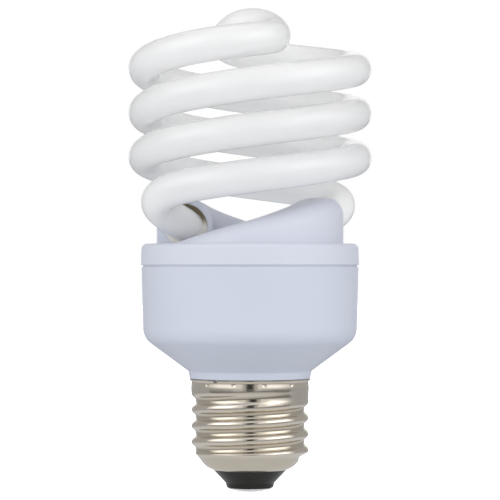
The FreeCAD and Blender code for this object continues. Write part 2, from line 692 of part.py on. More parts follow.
def bulk_capacitor():
    radius = BULK_CAPACITOR_DIAMETER / 2
    top = BOARD_FOOT_Z - STAND_OFF
    foot = top - BULK_CAPACITOR_LENGTH
    crimp = top - CRIMP_HEIGHT
    can = turned([
        (0, foot),
        (radius, foot, CRIMP_DEPTH),
        (radius, crimp - CRIMP_WIDTH / 2),
        (radius - CRIMP_DEPTH, crimp),
        (radius, crimp + CRIMP_WIDTH / 2),
        (radius, top, CRIMP_DEPTH),
        (0, top),
    ])
    legs = spaced(BULK_CAPACITOR_PLACE, BULK_CAPACITOR_LEGS, along=(0, 1))
    can = moved(can, BULK_CAPACITOR_PLACE)
    return can.fuse([leg(place, top - STAND_OFF) for place in legs]), legs


def choke_heights():
    """Foot and top of the choke's core, hung under its bobbin's base."""
    top = BOARD_FOOT_Z - BOBBIN_BASE - BOBBIN_CLEARANCE
    return top - CHOKE_HEIGHT, top


def choke_core():
    """Ferrite with a centre leg and two windows."""
    foot, top = choke_heights()
    core = block(CHOKE_PLACE, (CHOKE_DEPTH, CHOKE_WIDTH, CHOKE_HEIGHT), foot)
    window = (CHOKE_WIDTH - CHOKE_CENTRE_LEG) / 2 - CHOKE_YOKE
    offset = CHOKE_CENTRE_LEG / 2 + window / 2
    holes = []
    for place in spaced(CHOKE_PLACE, 2 * offset, along=(0, 1)):
        holes.append(block(place, (CHOKE_DEPTH, window, CHOKE_HEIGHT - 2 * CHOKE_YOKE), foot + CHOKE_YOKE))
    return core.cut(holes)


def bobbin_sizes():
    """Width and depth of the bobbin's hole, of its tube and of its flanges."""
    hole = (CHOKE_DEPTH + 2 * BOBBIN_CLEARANCE, CHOKE_CENTRE_LEG + 2 * BOBBIN_CLEARANCE)
    tube = tuple(size + 2 * BOBBIN_WALL for size in hole)
    flange = tuple(size + 2 * CHOKE_WINDING for size in tube)
    return hole, tube, flange


def choke_bobbin():
    """A square spool round the core's centre leg, joined to a base with four pins on the board."""
    foot, top = choke_heights()
    hole, tube, flange = bobbin_sizes()
    low = foot + CHOKE_YOKE + BOBBIN_CLEARANCE
    high = top - CHOKE_YOKE - BOBBIN_CLEARANCE
    spool = [
        block(CHOKE_PLACE, tube + (high - low,), low),
        block(CHOKE_PLACE, flange + (BOBBIN_WALL,), low),
        block(CHOKE_PLACE, flange + (BOBBIN_WALL,), high - BOBBIN_WALL),
    ]
    riser_width = (flange[0] - hole[0]) / 2
    riser_height = BOARD_FOOT_Z - high + BOBBIN_WALL
    for place in spaced(CHOKE_PLACE, hole[0] + riser_width):
        spool.append(block(place, (riser_width, tube[1], riser_height), high - BOBBIN_WALL))
    base = block(CHOKE_PLACE, (flange[0], CHOKE_WIDTH, BOBBIN_BASE), BOARD_FOOT_Z - BOBBIN_BASE)
    rows = spaced(CHOKE_PLACE, CHOKE_WIDTH - 4 * LEG_WIDTH, along=(0, 1))
    legs = [place for row in rows for place in spaced(row, flange[0] - 4 * LEG_WIDTH)]
    bobbin = base.fuse(spool + [leg(place, BOARD_FOOT_Z - BOBBIN_BASE) for place in legs])
    return bobbin.cut(block(CHOKE_PLACE, hole + (top - foot,), foot)), legs


def choke_winding():
    foot, top = choke_heights()
    _, tube, flange = bobbin_sizes()
    low = foot + CHOKE_YOKE + BOBBIN_CLEARANCE + BOBBIN_WALL
    high = top - CHOKE_YOKE - BOBBIN_CLEARANCE - BOBBIN_WALL
    coil = block(CHOKE_PLACE, flange + (high - low,), low)
    upright = [edge for edge in coil.Edges if edge.BoundBox.ZLength > (high - low) / 2]
    coil = coil.makeFillet(CHOKE_WINDING, upright)
    return coil.cut(block(CHOKE_PLACE, tube + (high - low,), low))


def drive_toroid():
    foot = BOARD_FOOT_Z - TOROID_DROP - TOROID_HEIGHT
    ring = Part.makeCylinder(TOROID_DIAMETER / 2, TOROID_HEIGHT)
    ring = ring.cut(Part.makeCylinder(TOROID_HOLE / 2, TOROID_HEIGHT))
    rims = [edge for edge in ring.Edges if edge.Closed]
    return moved(ring.makeChamfer(BAND_THICKNESS / 2, rims), TOROID_PLACE, foot)


def drive_windings():
    """Three flat bands of wire round the ring, each with two legs up to the board."""
    foot = BOARD_FOOT_Z - TOROID_DROP - TOROID_HEIGHT
    inner = math.sqrt((TOROID_HOLE / 2) ** 2 - (BAND_WIDTH / 2) ** 2) - BAND_CLEARANCE
    outer = TOROID_DIAMETER / 2 + BAND_CLEARANCE
    tall = TOROID_HEIGHT + 2 * BAND_CLEARANCE
    low = foot - BAND_CLEARANCE
    solids = []
    legs = []
    for index in range(BAND_COUNT):
        wound = block(((inner + outer) / 2, 0),
                      (outer - inner + 2 * BAND_THICKNESS, BAND_WIDTH, tall + 2 * BAND_THICKNESS),
                      low - BAND_THICKNESS)
        wound = wound.cut(block(((inner + outer) / 2, 0), (outer - inner, BAND_WIDTH, tall), low))
        turn = BAND_START_ANGLE + 360 * index / BAND_COUNT
        wound.rotate(ORIGIN, AXIS, turn)
        spin = FreeCAD.Rotation(AXIS, turn)
        places = []
        for side in spaced((0, 0), BAND_WIDTH - LEG_WIDTH, along=(0, 1)):
            spot = spin.multVec(at(outer + BAND_THICKNESS / 2, side[1], 0))
            places.append((TOROID_PLACE[0] + spot.x, TOROID_PLACE[1] + spot.y))
        solids.append(moved(wound, TOROID_PLACE).fuse([leg(place, low + tall) for place in places]))
        legs += places
    return Part.makeCompound(solids), legs


def power_transistor(place):
    """A moulded half-round body on three legs."""
    foot = BOARD_FOOT_Z - TRANSISTOR_DROP - TRANSISTOR_HEIGHT
    body = Part.makeCylinder(TRANSISTOR_DIAMETER / 2, TRANSISTOR_HEIGHT)
    behind = block((0, TRANSISTOR_FLAT + TRANSISTOR_DIAMETER / 2),
                   (TRANSISTOR_DIAMETER, TRANSISTOR_DIAMETER, TRANSISTOR_HEIGHT), 0)
    body = moved(body.cut(behind), place, foot)
    legs = spaced(place, TRANSISTOR_LEGS, count=3)
    return body.fuse([leg(spot, foot + TRANSISTOR_HEIGHT - LEG_WIDTH) for spot in legs]), legs


def axial_part(place, diameter, length, span, along):
    """A round body lying under the board between two legs, its ends slightly bevelled."""
    middle = BOARD_FOOT_Z - STAND_OFF - diameter / 2
    direction = at(along[0], along[1], 0)
    start = at(place[0], place[1], middle) - direction * (length / 2)
    body = Part.makeCylinder(diameter / 2, length, start, direction)
    body = body.makeChamfer(diameter / 10, [edge for edge in body.Edges if edge.Closed])
    arm_size = tuple(LEG_WIDTH + span * abs(share) for share in along) + (LEG_WIDTH,)
    arm = block(place, arm_size, middle - LEG_WIDTH / 2)
    legs = spaced(place, span, along=along)
    return body.fuse([arm] + [leg(spot, middle - LEG_WIDTH / 2) for spot in legs]), legs


def film_capacitor(place, size, leg_spacing):
    top = BOARD_FOOT_Z - STAND_OFF
    body = block(place, size, top - size[2])
    body = body.makeFillet(FILM_FILLET, body.Edges)
    legs = spaced(place, leg_spacing)
    return body.fuse([leg(spot, top - FILM_FILLET) for spot in legs]), legs


def inductor_heights():
    top = BOARD_FOOT_Z - INDUCTOR_DROP
    return top - INDUCTOR_HEIGHT, top


def filter_inductor_core():
    """A ferrite drum on two legs."""
    foot, top = inductor_heights()
    wide = INDUCTOR_DIAMETER / 2
    waist = INDUCTOR_CORE_DIAMETER / 2
    drum = turned([
        (0, foot),
        (wide, foot),
        (wide, foot + INDUCTOR_FLANGE),
        (waist, foot + INDUCTOR_FLANGE),
        (waist, top - INDUCTOR_FLANGE),
        (wide, top - INDUCTOR_FLANGE),
        (wide, top),
        (0, top),
    ])
    legs = spaced(INDUCTOR_PLACE, INDUCTOR_CORE_DIAMETER)
    return moved(drum, INDUCTOR_PLACE).fuse([leg(place, top - INDUCTOR_FLANGE / 2) for place in legs]), legs


def filter_inductor_winding():
    foot, top = inductor_heights()
    low = foot + INDUCTOR_FLANGE + INDUCTOR_WINDING_CLEARANCE
    high = top - INDUCTOR_FLANGE - INDUCTOR_WINDING_CLEARANCE
    inner = INDUCTOR_CORE_DIAMETER / 2 + INDUCTOR_WINDING_CLEARANCE
    outer = INDUCTOR_DIAMETER / 2 - INDUCTOR_WINDING_INSET
    bulge = (outer - inner) / 4
    coil = turned([(inner, low), (outer, low, bulge), (outer, high, bulge), (inner, high)])
    return moved(coil, INDUCTOR_PLACE)


# Wiring


def electrode_routes():
    """For each wire of the tube: where it leaves the glass, and where it turns straight down."""
    end, direction = tube_end()
    across = direction.cross(AXIS).normalize()
    tip = end + direction * PRESS_LENGTH
    spin = FreeCAD.Rotation(AXIS, 180)
    routes = []
    for side in (-0.5, 0.5):
        start = tip + across * (ELECTRODE_SPACING * side)
        turn = start + direction * (ELECTRODE_RUN + ELECTRODE_BEND)
        routes += [(start, turn), (spin.multVec(start), spin.multVec(turn))]
    return routes


def wrap_bore():
    return POST_WIDTH * math.sqrt(0.5) + POST_CLEARANCE


def post_place(turn):
    """A post stands just outside the wire that is wrapped on it."""
    outward = at(turn.x, turn.y, 0).normalize() * (wrap_bore() + WRAP_THICKNESS / 2)
    return (turn.x + outward.x, turn.y + outward.y)


def wrap_post(place):
    foot = BOARD_FOOT_Z - POST_STICK_OUT
    height = POST_STICK_OUT + BOARD_THICKNESS + POST_HEIGHT
    return block(place, (POST_WIDTH, POST_WIDTH, height), foot)


def electrode_lead(start, turn):
    """A wire from the press seal, bent down beside its post and wrapped round it."""
    wrap_z = BOARD_TOP_Z + POST_HEIGHT / 2
    wire = wire_along([start, turn, at(turn.x, turn.y, wrap_z)], ELECTRODE_BEND, ELECTRODE_DIAMETER)
    x, y = post_place(turn)
    foot = at(x, y, wrap_z - WRAP_HEIGHT / 2)
    band = Part.makeCylinder(wrap_bore() + WRAP_THICKNESS, WRAP_HEIGHT, foot)
    band = band.cut(Part.makeCylinder(wrap_bore(), WRAP_HEIGHT, foot))
    return wire.fuse(band)


def live_lead():
    """From the top of the contact's shank up past the capacitor to the board."""
    foot = INSULATOR_TOP_Z + SHANK_HEAD
    knee = foot + 2 * LEAD_BEND
    x, y = LIVE_LEAD_PLACE
    return wire_along([
        at(0, 0, foot),
        at(0, 0, knee),
        at(x, y, knee + math.hypot(x, y)),
        at(x, y, BOARD_TOP_Z),
    ], LEAD_BEND, LEAD_DIAMETER)


def neutral_lead():
    """From its solder on the shell, in through the spigot's notch, and up to the board."""
    z = CAP_LENGTH - SPIGOT_LENGTH / 2
    wall = SHELL_RADIUS - SHELL_WALL
    inside = SPIGOT_BORE - LEAD_BEND - LEAD_DIAMETER / 2
    x, y = NEUTRAL_LEAD_PLACE
    knee = z + 2 * LEAD_BEND
    shoulder = at(x + inside, y, 0).Length
    wire = wire_along([
        at(-wall + SOLDER_RADIUS, 0, z),
        at(-inside, 0, z),
        at(-inside, 0, knee),
        at(x, y, knee + shoulder),
        at(x, y, BOARD_TOP_Z),
    ], LEAD_BEND, LEAD_DIAMETER)
    solder_start = at(-wall - SOLDER_RADIUS / 2, 0, z)
    solder = Part.makeCylinder(SOLDER_RADIUS, 2 * SOLDER_RADIUS, solder_start, at(1, 0, 0))
    inside_shell = Part.makeCylinder(wall, SHELL_TOP_Z)
    return wire.fuse(solder.common(inside_shell))


def circuit_board(legs, posts):
    """A round board with a hole for each leg, post and lead."""
    board = Part.makeCylinder(BOARD_RADIUS, BOARD_THICKNESS, at(0, 0, BOARD_FOOT_Z))
    leg_hole = LEG_WIDTH + 2 * LEG_CLEARANCE
    post_hole = POST_WIDTH + 2 * POST_CLEARANCE
    holes = [block(place, (leg_hole, leg_hole, BOARD_THICKNESS), BOARD_FOOT_Z) for place in legs]
    holes += [block(place, (post_hole, post_hole, BOARD_THICKNESS), BOARD_FOOT_Z) for place in posts]
    lead_hole = LEAD_DIAMETER / 2 + LEG_CLEARANCE
    for x, y in (LIVE_LEAD_PLACE, NEUTRAL_LEAD_PLACE):
        holes.append(Part.makeCylinder(lead_hole, BOARD_THICKNESS, at(x, y, BOARD_FOOT_Z)))
    return board.cut(holes)


def ballast_parts():
    """Every part under the board by name, and the places of all their legs."""
    legged = {
        "bulk_capacitor": bulk_capacitor(),
        "choke_bobbin": choke_bobbin(),
        "drive_windings": drive_windings(),
        "resonant_capacitor": film_capacitor(
            RESONANT_CAPACITOR_PLACE, RESONANT_CAPACITOR_SIZE, RESONANT_CAPACITOR_LEGS),
        "coupling_capacitor": film_capacitor(
            COUPLING_CAPACITOR_PLACE, COUPLING_CAPACITOR_SIZE, COUPLING_CAPACITOR_LEGS),
        "filter_inductor_core": filter_inductor_core(),
        "fuse_resistor": axial_part(
            FUSE_RESISTOR_PLACE, FUSE_RESISTOR_DIAMETER, FUSE_RESISTOR_LENGTH, FUSE_RESISTOR_SPAN, (0, 1)),
        "trigger_diac": axial_part(DIAC_PLACE, DIAC_DIAMETER, DIAC_LENGTH, DIAC_SPAN, (1, 0)),
    }
    for index, place in enumerate(TRANSISTOR_PLACES, 1):
        legged[f"power_transistor_{index}"] = power_transistor(place)
    for index, place in enumerate(DIODE_PLACES, 1):
        legged[f"rectifier_diode_{index}"] = axial_part(
            place, DIODE_DIAMETER, DIODE_LENGTH, DIODE_SPAN, (0, 1))
    for index, place in enumerate(RESISTOR_PLACES, 1):
        legged[f"base_resistor_{index}"] = axial_part(
            place, RESISTOR_DIAMETER, RESISTOR_LENGTH, RESISTOR_SPAN, (0, 1))
    solids = {name: shape for name, (shape, _) in legged.items()}
    solids["choke_core"] = choke_core()
    solids["choke_winding"] = choke_winding()
    solids["drive_toroid"] = drive_toroid()
    solids["filter_inductor_winding"] = filter_inductor_winding()
    legs = [place for _, places in legged.values() for place in places]
    return solids, legs


def lamp():
    """Every piece of the lamp by name."""
    pieces = {
        "spiral_tube": spiral_tube(),
        "tube_cover": tube_cover(),
        "tube_sealant": tube_sealant(),
        "ballast_housing": ballast_housing(),
        "screw_shell": screw_shell(),
        "cap_insulator": cap_insulator(),
        "centre_contact": centre_contact(),
        "live_lead": live_lead(),
        "neutral_lead": neutral_lead(),
    }
    solids, legs = ballast_parts()
    pieces.update(solids)
    posts = []
    for index, (start, turn) in enumerate(electrode_routes(), 1):
        place = post_place(turn)
        posts.append(place)
        pieces[f"wrap_post_{index}"] = wrap_post(place)
        pieces[f"electrode_lead_{index}"] = electrode_lead(start, turn)
    pieces["circuit_board"] = circuit_board(legs, posts)
    return pieces


def main():
    os.makedirs("parts", exist_ok=True)
    for name, shape in lamp().items():
        shape.exportStep(f"parts/{name}.step")
        print(name, shape.isValid(), len(shape.Solids), round(shape.Volume, 2))


if __name__ == "__main__":
    main()
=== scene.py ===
# %% [markdown]
# # A spiral energy saving bulb
#
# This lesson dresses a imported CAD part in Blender. The real lamp is a milky glass tube wound as a
# double spiral, a pale plastic cover and housing, and a plated screw cap with black glass at its foot.
# The CAD meshes are made of flat facets, so every surface that shows is built again here as a smooth
# mesh at the same sizes, and the parts inside stay as they were packed, with better finishes.

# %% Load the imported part
import math

import bpy
import bmesh
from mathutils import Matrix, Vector


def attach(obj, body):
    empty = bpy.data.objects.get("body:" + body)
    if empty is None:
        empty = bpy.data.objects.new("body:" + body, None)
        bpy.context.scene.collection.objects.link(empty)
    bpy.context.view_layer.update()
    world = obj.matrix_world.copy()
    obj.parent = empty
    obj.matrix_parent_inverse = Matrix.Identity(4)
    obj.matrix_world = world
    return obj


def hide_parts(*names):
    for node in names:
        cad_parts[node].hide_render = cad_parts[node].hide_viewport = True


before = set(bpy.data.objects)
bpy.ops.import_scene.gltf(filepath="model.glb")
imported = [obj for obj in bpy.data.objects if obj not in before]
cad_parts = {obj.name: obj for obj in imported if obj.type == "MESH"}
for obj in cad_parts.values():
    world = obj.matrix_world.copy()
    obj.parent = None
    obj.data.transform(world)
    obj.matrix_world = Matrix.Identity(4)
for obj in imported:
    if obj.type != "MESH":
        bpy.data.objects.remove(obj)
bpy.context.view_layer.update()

MM = 0.001
scene = bpy.context.scene
scene.view_settings.view_transform = "Standard"

# %% [markdown]
# ## The camera
#
# The camera comes first, because every later choice is judged through it. A lens sees
# frame width = distance x sensor / focal length, so from the width that the photograph shows at the
# lamp's axis we can work out the focal length. The camera stands a little below the lamp's middle and
# looks slightly up, so that the gaps between the turns open as they do in the photograph.

# %% Camera
CAMERA_PLACE = Vector((0.0, -600.0, 50.0)) * MM
CAMERA_AIM = Vector((0.0, 0.0, 54.4)) * MM
FRAME_WIDTH = 112.9 * MM

camera_data = bpy.data.cameras.new("photo_camera")
camera = bpy.data.objects.new("photo_camera", camera_data)
scene.collection.objects.link(camera)
look = CAMERA_AIM - CAMERA_PLACE
camera.location = CAMERA_PLACE
camera.rotation_euler = look.to_track_quat("-Z", "Y").to_euler()
camera_data.sensor_width = 36.0
camera_data.lens = camera_data.sensor_width * look.length / FRAME_WIDTH
scene.camera = camera
print("focal length in mm:", round(camera_data.lens, 1))

# %% [markdown]
# ## Small helpers for node trees
#
# Materials, the world and Geometry Nodes are all node trees. Three helpers keep their code short: one
# adds a node and fills its inputs, linking a socket and setting anything else as a value, one adds a
# Math node, and one adds a soft step from one value to another.

# %% Node helpers
def fill(tree, socket, value):
    if isinstance(value, bpy.types.NodeSocket):
        tree.links.new(value, socket)
    else:
        socket.default_value = value


def node(tree, kind, inputs=None, **options):
    made = tree.nodes.new(kind)
    for name, value in options.items():
        setattr(made, name, value)
    for key, value in (inputs or {}).items():
        fill(tree, made.inputs[key], value)
    return made


def calc(tree, operation, *values):
    made = node(tree, "ShaderNodeMath", operation=operation)
    for socket, value in zip(made.inputs, values):
        fill(tree, socket, value)
    return made.outputs[0]


def soft_step(tree, value, start, end, first, last):
    """First where value is at start, last where it is at end, and a soft step between them."""
    made = node(tree, "ShaderNodeMapRange", {
        "Value": value, "From Min": start, "From Max": end, "To Min": first, "To Max": last,
    }, interpolation_type="SMOOTHSTEP")
    return made.outputs["Result"]


# %% [markdown]
# ## The studio
#
# The photograph was taken in a white studio with a large soft box on each side of the camera and one
# above. The world below is that room: a white backdrop behind the lamp, greyer side walls, and a paler
# wall behind the camera. The walls give metal and glass their shape. Where the camera looks at the
# world it is plain white. The floor lies a little lower than the lamp's tip, and away from the lamp it
# fades to the backdrop's white.
#
# A soft box glows most in its middle, so a reflection of it has a soft edge. Four fills, one for each
# side, lift the shade on matt surfaces. They are hidden from reflections.

# %% World
BACKDROP_FROM, BACKDROP_FULL = 0.86, 0.97
WALL_GREY, FRONT_WALL_GREY = 0.39, 0.77

world = bpy.data.worlds.new("white_studio")
scene.world = world
world.use_nodes = True
tree = world.node_tree
tree.nodes.clear()
path = node(tree, "ShaderNodeLightPath")
direction = node(tree, "ShaderNodeTexCoord").outputs["Generated"]
across = node(tree, "ShaderNodeSeparateXYZ", {"Vector": direction}).outputs["Y"]
backdrop = soft_step(tree, across, BACKDROP_FROM, BACKDROP_FULL, 0.0, 1.0)
walls = soft_step(tree, across, 0.15, -0.55, WALL_GREY, FRONT_WALL_GREY)
room = calc(tree, "MAXIMUM", backdrop, walls)
seen = calc(tree, "MAXIMUM", path.outputs["Is Camera Ray"], path.outputs["Is Transmission Ray"])
strength = calc(tree, "MAXIMUM", room, seen)
background = node(tree, "ShaderNodeBackground", {"Color": (1.0, 1.0, 1.0, 1.0), "Strength": strength})
node(tree, "ShaderNodeOutputWorld", {"Surface": background.outputs["Background"]})
print("world nodes:", len(tree.nodes))

# %% Floor
FLOOR_DROP = 12.0 * MM
FLOOR_REACH = 4.0
FADE_FROM, FADE_FULL = 0.03, 0.11

floor_mesh = bpy.data.meshes.new("studio_floor")
corners = [(-FLOOR_REACH, -FLOOR_REACH), (FLOOR_REACH, -FLOOR_REACH),
           (FLOOR_REACH, FLOOR_REACH), (-FLOOR_REACH, FLOOR_REACH)]
floor_mesh.from_pydata([(x, y, -FLOOR_DROP) for x, y in corners], [], [(0, 1, 2, 3)])
floor = bpy.data.objects.new("studio_floor", floor_mesh)
scene.collection.objects.link(floor)
paper = bpy.data.materials.new("white_paper")
paper.use_nodes = True
tree = paper.node_tree
tree.nodes.clear()
matt = node(tree, "ShaderNodeBsdfDiffuse", {"Color": (0.72, 0.74, 0.77, 1.0)})
path = node(tree, "ShaderNodeLightPath")
place = node(tree, "ShaderNodeTexCoord").outputs["Object"]
away = node(tree, "ShaderNodeVectorMath", {0: place}, operation="LENGTH").outputs["Value"]
fade = soft_step(tree, away, FADE_FROM, FADE_FULL, 0.25, 1.0)
lift = calc(tree, "MULTIPLY", path.outputs["Is Camera Ray"], fade)
glow = node(tree, "ShaderNodeEmission", {"Color": (1.0, 1.0, 1.0, 1.0), "Strength": lift})
both = node(tree, "ShaderNodeAddShader")
fill(tree, both.inputs[0], matt.outputs["BSDF"])
fill(tree, both.inputs[1], glow.outputs["Emission"])
node(tree, "ShaderNodeOutputMaterial", {"Surface": both.outputs["Shader"]})
floor_mesh.materials.append(paper)
print("floor below the tip by mm:", FLOOR_DROP / MM)


# %% Soft boxes
LAMP_MIDDLE = Vector((0.0, 0.0, 0.055))
EDGE_GLOW = 0.25
# The dim edges take light away from a box, and this gives it back.
SOFT_EDGE_GAIN = 1.745


def soft_box(name, place, size, power):
    """A lamp whose cloth fades from its middle to EDGE_GLOW at its edge, aimed at the bulb."""
    lamp_data = bpy.data.lights.new(name, "AREA")
    lamp_data.shape = "RECTANGLE"
    lamp_data.size, lamp_data.size_y = size
    lamp_data.energy = power * SOFT_EDGE_GAIN
    lamp_data.use_nodes = True
    tree = lamp_data.node_tree
    tree.nodes.clear()
    on_cloth = node(tree, "ShaderNodeNewGeometry").outputs["Parametric"]
    middle = (0.5, 0.5, 0.0)
    offset = node(tree, "ShaderNodeVectorMath", {0: on_cloth, 1: middle}, operation="SUBTRACT")
    offset = node(tree, "ShaderNodeVectorMath", {0: offset.outputs["Vector"]}, operation="ABSOLUTE")
    offset = node(tree, "ShaderNodeSeparateXYZ", {"Vector": offset.outputs["Vector"]})
    to_edge = calc(tree, "MAXIMUM", offset.outputs["X"], offset.outputs["Y"])
    glow = soft_step(tree, to_edge, 0.5, 0.1, EDGE_GLOW, 1.0)
    cloth = node(tree, "ShaderNodeEmission", {"Strength": glow})
    node(tree, "ShaderNodeOutputLight", {"Surface": cloth.outputs["Emission"]})
    lamp = bpy.data.objects.new(name, lamp_data)
    lamp.location = place
    lamp.rotation_euler = (LAMP_MIDDLE - Vector(place)).to_track_quat("-Z", "Y").to_euler()
    scene.collection.objects.link(lamp)
    return lamp


boxes = [
    soft_box("box_left", (-0.84, -0.42, 0.55), (1.35, 0.95), 2.6),
    soft_box("box_right", (0.84, -0.42, 0.55), (1.35, 0.95), 2.95),
    soft_box("box_above", (0.0, 0.10, 0.95), (0.90, 0.80), 0.90),
]
fills = [
    soft_box("fill_front", (-0.05, -0.90, 0.065), (0.80, 0.13), 1.7),
    soft_box("fill_left", (-1.0, -0.15, 0.20), (0.70, 0.50), 1.25),
    soft_box("fill_right", (1.0, -0.15, 0.20), (0.70, 0.50), 1.2),
    soft_box("fill_behind", (0.0, 0.90, 0.30), (1.20, 0.80), 2.6),
]
for fill_light in fills:
    fill_light.visible_glossy = False
print("soft boxes:", len(boxes), "fills:", len(fills))

# %% [markdown]
# ### Dark cards
#
# Polished metal takes its shape from dark cards. A cool grey one lies below the lamp and a darker one
# in front of it, so that the lower flank of each thread turns darker. A narrow black one stands for the
# camera, which shows as a dark spot in the middle of each thread, and a grey one for the room close
# behind it. Only reflections see them.

# %% Dark cards
CARD_NEAR, CARD_FAR = 0.025, 0.20
WHITE = (1.0, 1.0, 1.0, 1.0)
COOL_WHITE = (0.97, 0.99, 1.03, 1.0)


def dark_card(name, corners, near_grey, far_grey, tint=WHITE):
    """A card whose grey changes between two distances from the lamp's tip."""
    mesh = bpy.data.meshes.new(name)
    mesh.from_pydata([Vector(corner) for corner in corners], [], [(0, 1, 2, 3)])
    card = bpy.data.objects.new(name, mesh)
    scene.collection.objects.link(card)
    cloth = bpy.data.materials.new(name + "_cloth")
    cloth.use_nodes = True
    tree = cloth.node_tree
    tree.nodes.clear()
    place = node(tree, "ShaderNodeTexCoord").outputs["Object"]
    away = node(tree, "ShaderNodeVectorMath", {0: place}, operation="LENGTH").outputs["Value"]
    grey = soft_step(tree, away, CARD_NEAR, CARD_FAR, near_grey, far_grey)
    dim = node(tree, "ShaderNodeEmission", {"Color": tint, "Strength": grey})
    node(tree, "ShaderNodeOutputMaterial", {"Surface": dim.outputs["Emission"]})
    mesh.materials.append(cloth)
    card.visible_camera = card.visible_shadow = False
    card.visible_diffuse = card.visible_transmission = False
    return card


def lying(half_width, front, back, level):
    return [(-half_width, front, level), (half_width, front, level), (half_width, back, level),
            (-half_width, back, level)]


def standing(half_width, depth, foot, top):
    return [(-half_width, depth, foot), (half_width, depth, foot), (half_width, depth, top),
            (-half_width, depth, top)]


cards = [
    dark_card("card_below", lying(2.0, -0.60, 1.2, -0.0115), 0.64, 0.38, COOL_WHITE),
    dark_card("card_in_front", lying(0.6, -0.60, -0.03, -0.011), 0.58, 0.17),
    dark_card("card_at_camera", standing(0.08, -0.62, -0.01, 0.36), 0.02, 0.02),
    dark_card("card_behind_camera", standing(0.19, -0.70, -0.01, 0.60), 0.42, 0.42),
]
print("dark cards:", len(cards))

# %% [markdown]
# ## Finishes
#
# A finish is more than a colour. Each material below starts from the Principled shader, adds the
# small unevenness that the real surface has, and puts values that are the same all over straight on
# the shader's sockets. Patterns read Object coordinates, so they stay on the lamp when it moves.

# %% A starting point for every finish
def finish(name, roughness, metallic=0.0, **constants):
    material = bpy.data.materials.new(name)
    material.use_nodes = True
    tree = material.node_tree
    shader = tree.nodes["Principled BSDF"]
    shader.inputs["Roughness"].default_value = roughness
    shader.inputs["Metallic"].default_value = metallic
    for socket, value in constants.items():
        shader.inputs[socket.replace("_", " ")].default_value = value
    place = node(tree, "ShaderNodeTexCoord").outputs["Object"]
    return material, tree, shader, place


def speckle(tree, place, size_mm, detail=3.0, stretch=(1.0, 1.0, 1.0)):
    """Noise whose blotches are about size_mm across."""
    scaled = node(tree, "ShaderNodeMapping", {"Vector": place, "Scale": stretch})
    made = node(tree, "ShaderNodeTexNoise", {
        "Vector": scaled.outputs["Vector"], "Scale": 1.0 / (size_mm * MM), "Detail": detail})
    return made.outputs["Fac"]


def two_tones(tree, shader, amount, first, second):
    mixed = node(tree, "ShaderNodeMix", data_type="RGBA")
    fill(tree, mixed.inputs["Factor"], amount)
    mixed.inputs["A"].default_value = (*first, 1.0)
    mixed.inputs["B"].default_value = (*second, 1.0)
    tree.links.new(mixed.outputs["Result"], shader.inputs["Base Color"])


def between(tree, amount, low, high):
    made = node(tree, "ShaderNodeMapRange", {"Value": amount, "To Min": low, "To Max": high})
    return made.outputs["Result"]


def bump(tree, shader, height, depth_mm, strength=1.0):
    made = node(tree, "ShaderNodeBump", {
        "Height": height, "Strength": strength, "Distance": depth_mm * MM})
    tree.links.new(made.outputs["Normal"], shader.inputs["Normal"])


# %% [markdown]
# ### Milky glass
#
# The tube is clear glass with white powder on its inside. The powder is matt and slightly uneven, and
# the clear wall over it is smooth and shiny. The shader's coat stands for that wall: its tint is what
# the light loses in the glass, so the rims, where light crosses more of it, look greyer. Light spreads
# a long way in the powder before it leaves again. The ends are shut in their sockets, so the spread
# fades out towards them. The mesh carries the way along the tube as an attribute for that, which
# grows by 1 in each of the path's eight runs.

# %% Milky glass
GLASS_IOR = 1.5
TUBE_RUNS = 8.0

milky_glass, tree, shader, place = finish(
    "milky_glass", 0.5, IOR=GLASS_IOR, Subsurface_Radius=(1.0, 1.0, 1.0), Subsurface_Scale=32.0 * MM,
    Coat_Weight=1.0, Coat_Roughness=0.09, Coat_IOR=GLASS_IOR, Coat_Tint=(0.992, 0.992, 0.990, 1.0))
along = node(tree, "ShaderNodeAttribute", attribute_name="along").outputs["Fac"]
from_end = calc(tree, "MINIMUM", along, calc(tree, "SUBTRACT", TUBE_RUNS, along))
lit = soft_step(tree, from_end, 1.15, 1.9, 0.0, 1.0)
tree.links.new(lit, shader.inputs["Subsurface Weight"])
powder = speckle(tree, place, 14.0, 4.0)
two_tones(tree, shader, powder, (0.93, 0.925, 0.918), (0.96, 0.955, 0.948))
bump(tree, shader, speckle(tree, place, 5.0, 2.0), 0.03, 0.3)
print("made", milky_glass.name)

# %% [markdown]
# ### Moulded plastic
#
# Cover and housing are two mouldings of one pale plastic. The housing's copy is a touch darker and
# bluer, which is painted shade. Their skin is satin and very finely grained. The grain is a fifth of
# a millimetre wide, so it doesn't show as a pattern but softens the highlights.

# %% Moulded plastic
def moulded(name, first, second):
    material, tree, shader, place = finish(name, 0.42, IOR=1.46)
    two_tones(tree, shader, speckle(tree, place, 18.0, 3.0), first, second)
    grain = speckle(tree, place, 0.22, 2.0)
    tree.links.new(between(tree, grain, 0.36, 0.50), shader.inputs["Roughness"])
    bump(tree, shader, grain, 0.012, 0.5)
    print("made", name)
    return material


cover_plastic = moulded("cover_plastic", (0.606, 0.630, 0.714), (0.636, 0.660, 0.744))
# The housing's darker, bluer colours are painted shade on the same plastic as the cover.
housing_plastic_painted_shade = moulded("housing_plastic_painted_shade", (0.572, 0.605, 0.692), (0.600, 0.633, 0.720))

# %% [markdown]
# ### Plated metal
#
# The shell is thin pressed metal with a warm nickel plating. Pressing and screwing leave faint lines
# that run round it, so the roughness noise is stretched along the thread. The distance from the axis
# tells a crest from a groove: the grooves are painted darker as painted shade, the crests lighter, and
# a stretched noise adds random smears.

# %% Plated metal
GROOVE_RADIUS, CREST_RADIUS = 12.1, 13.2

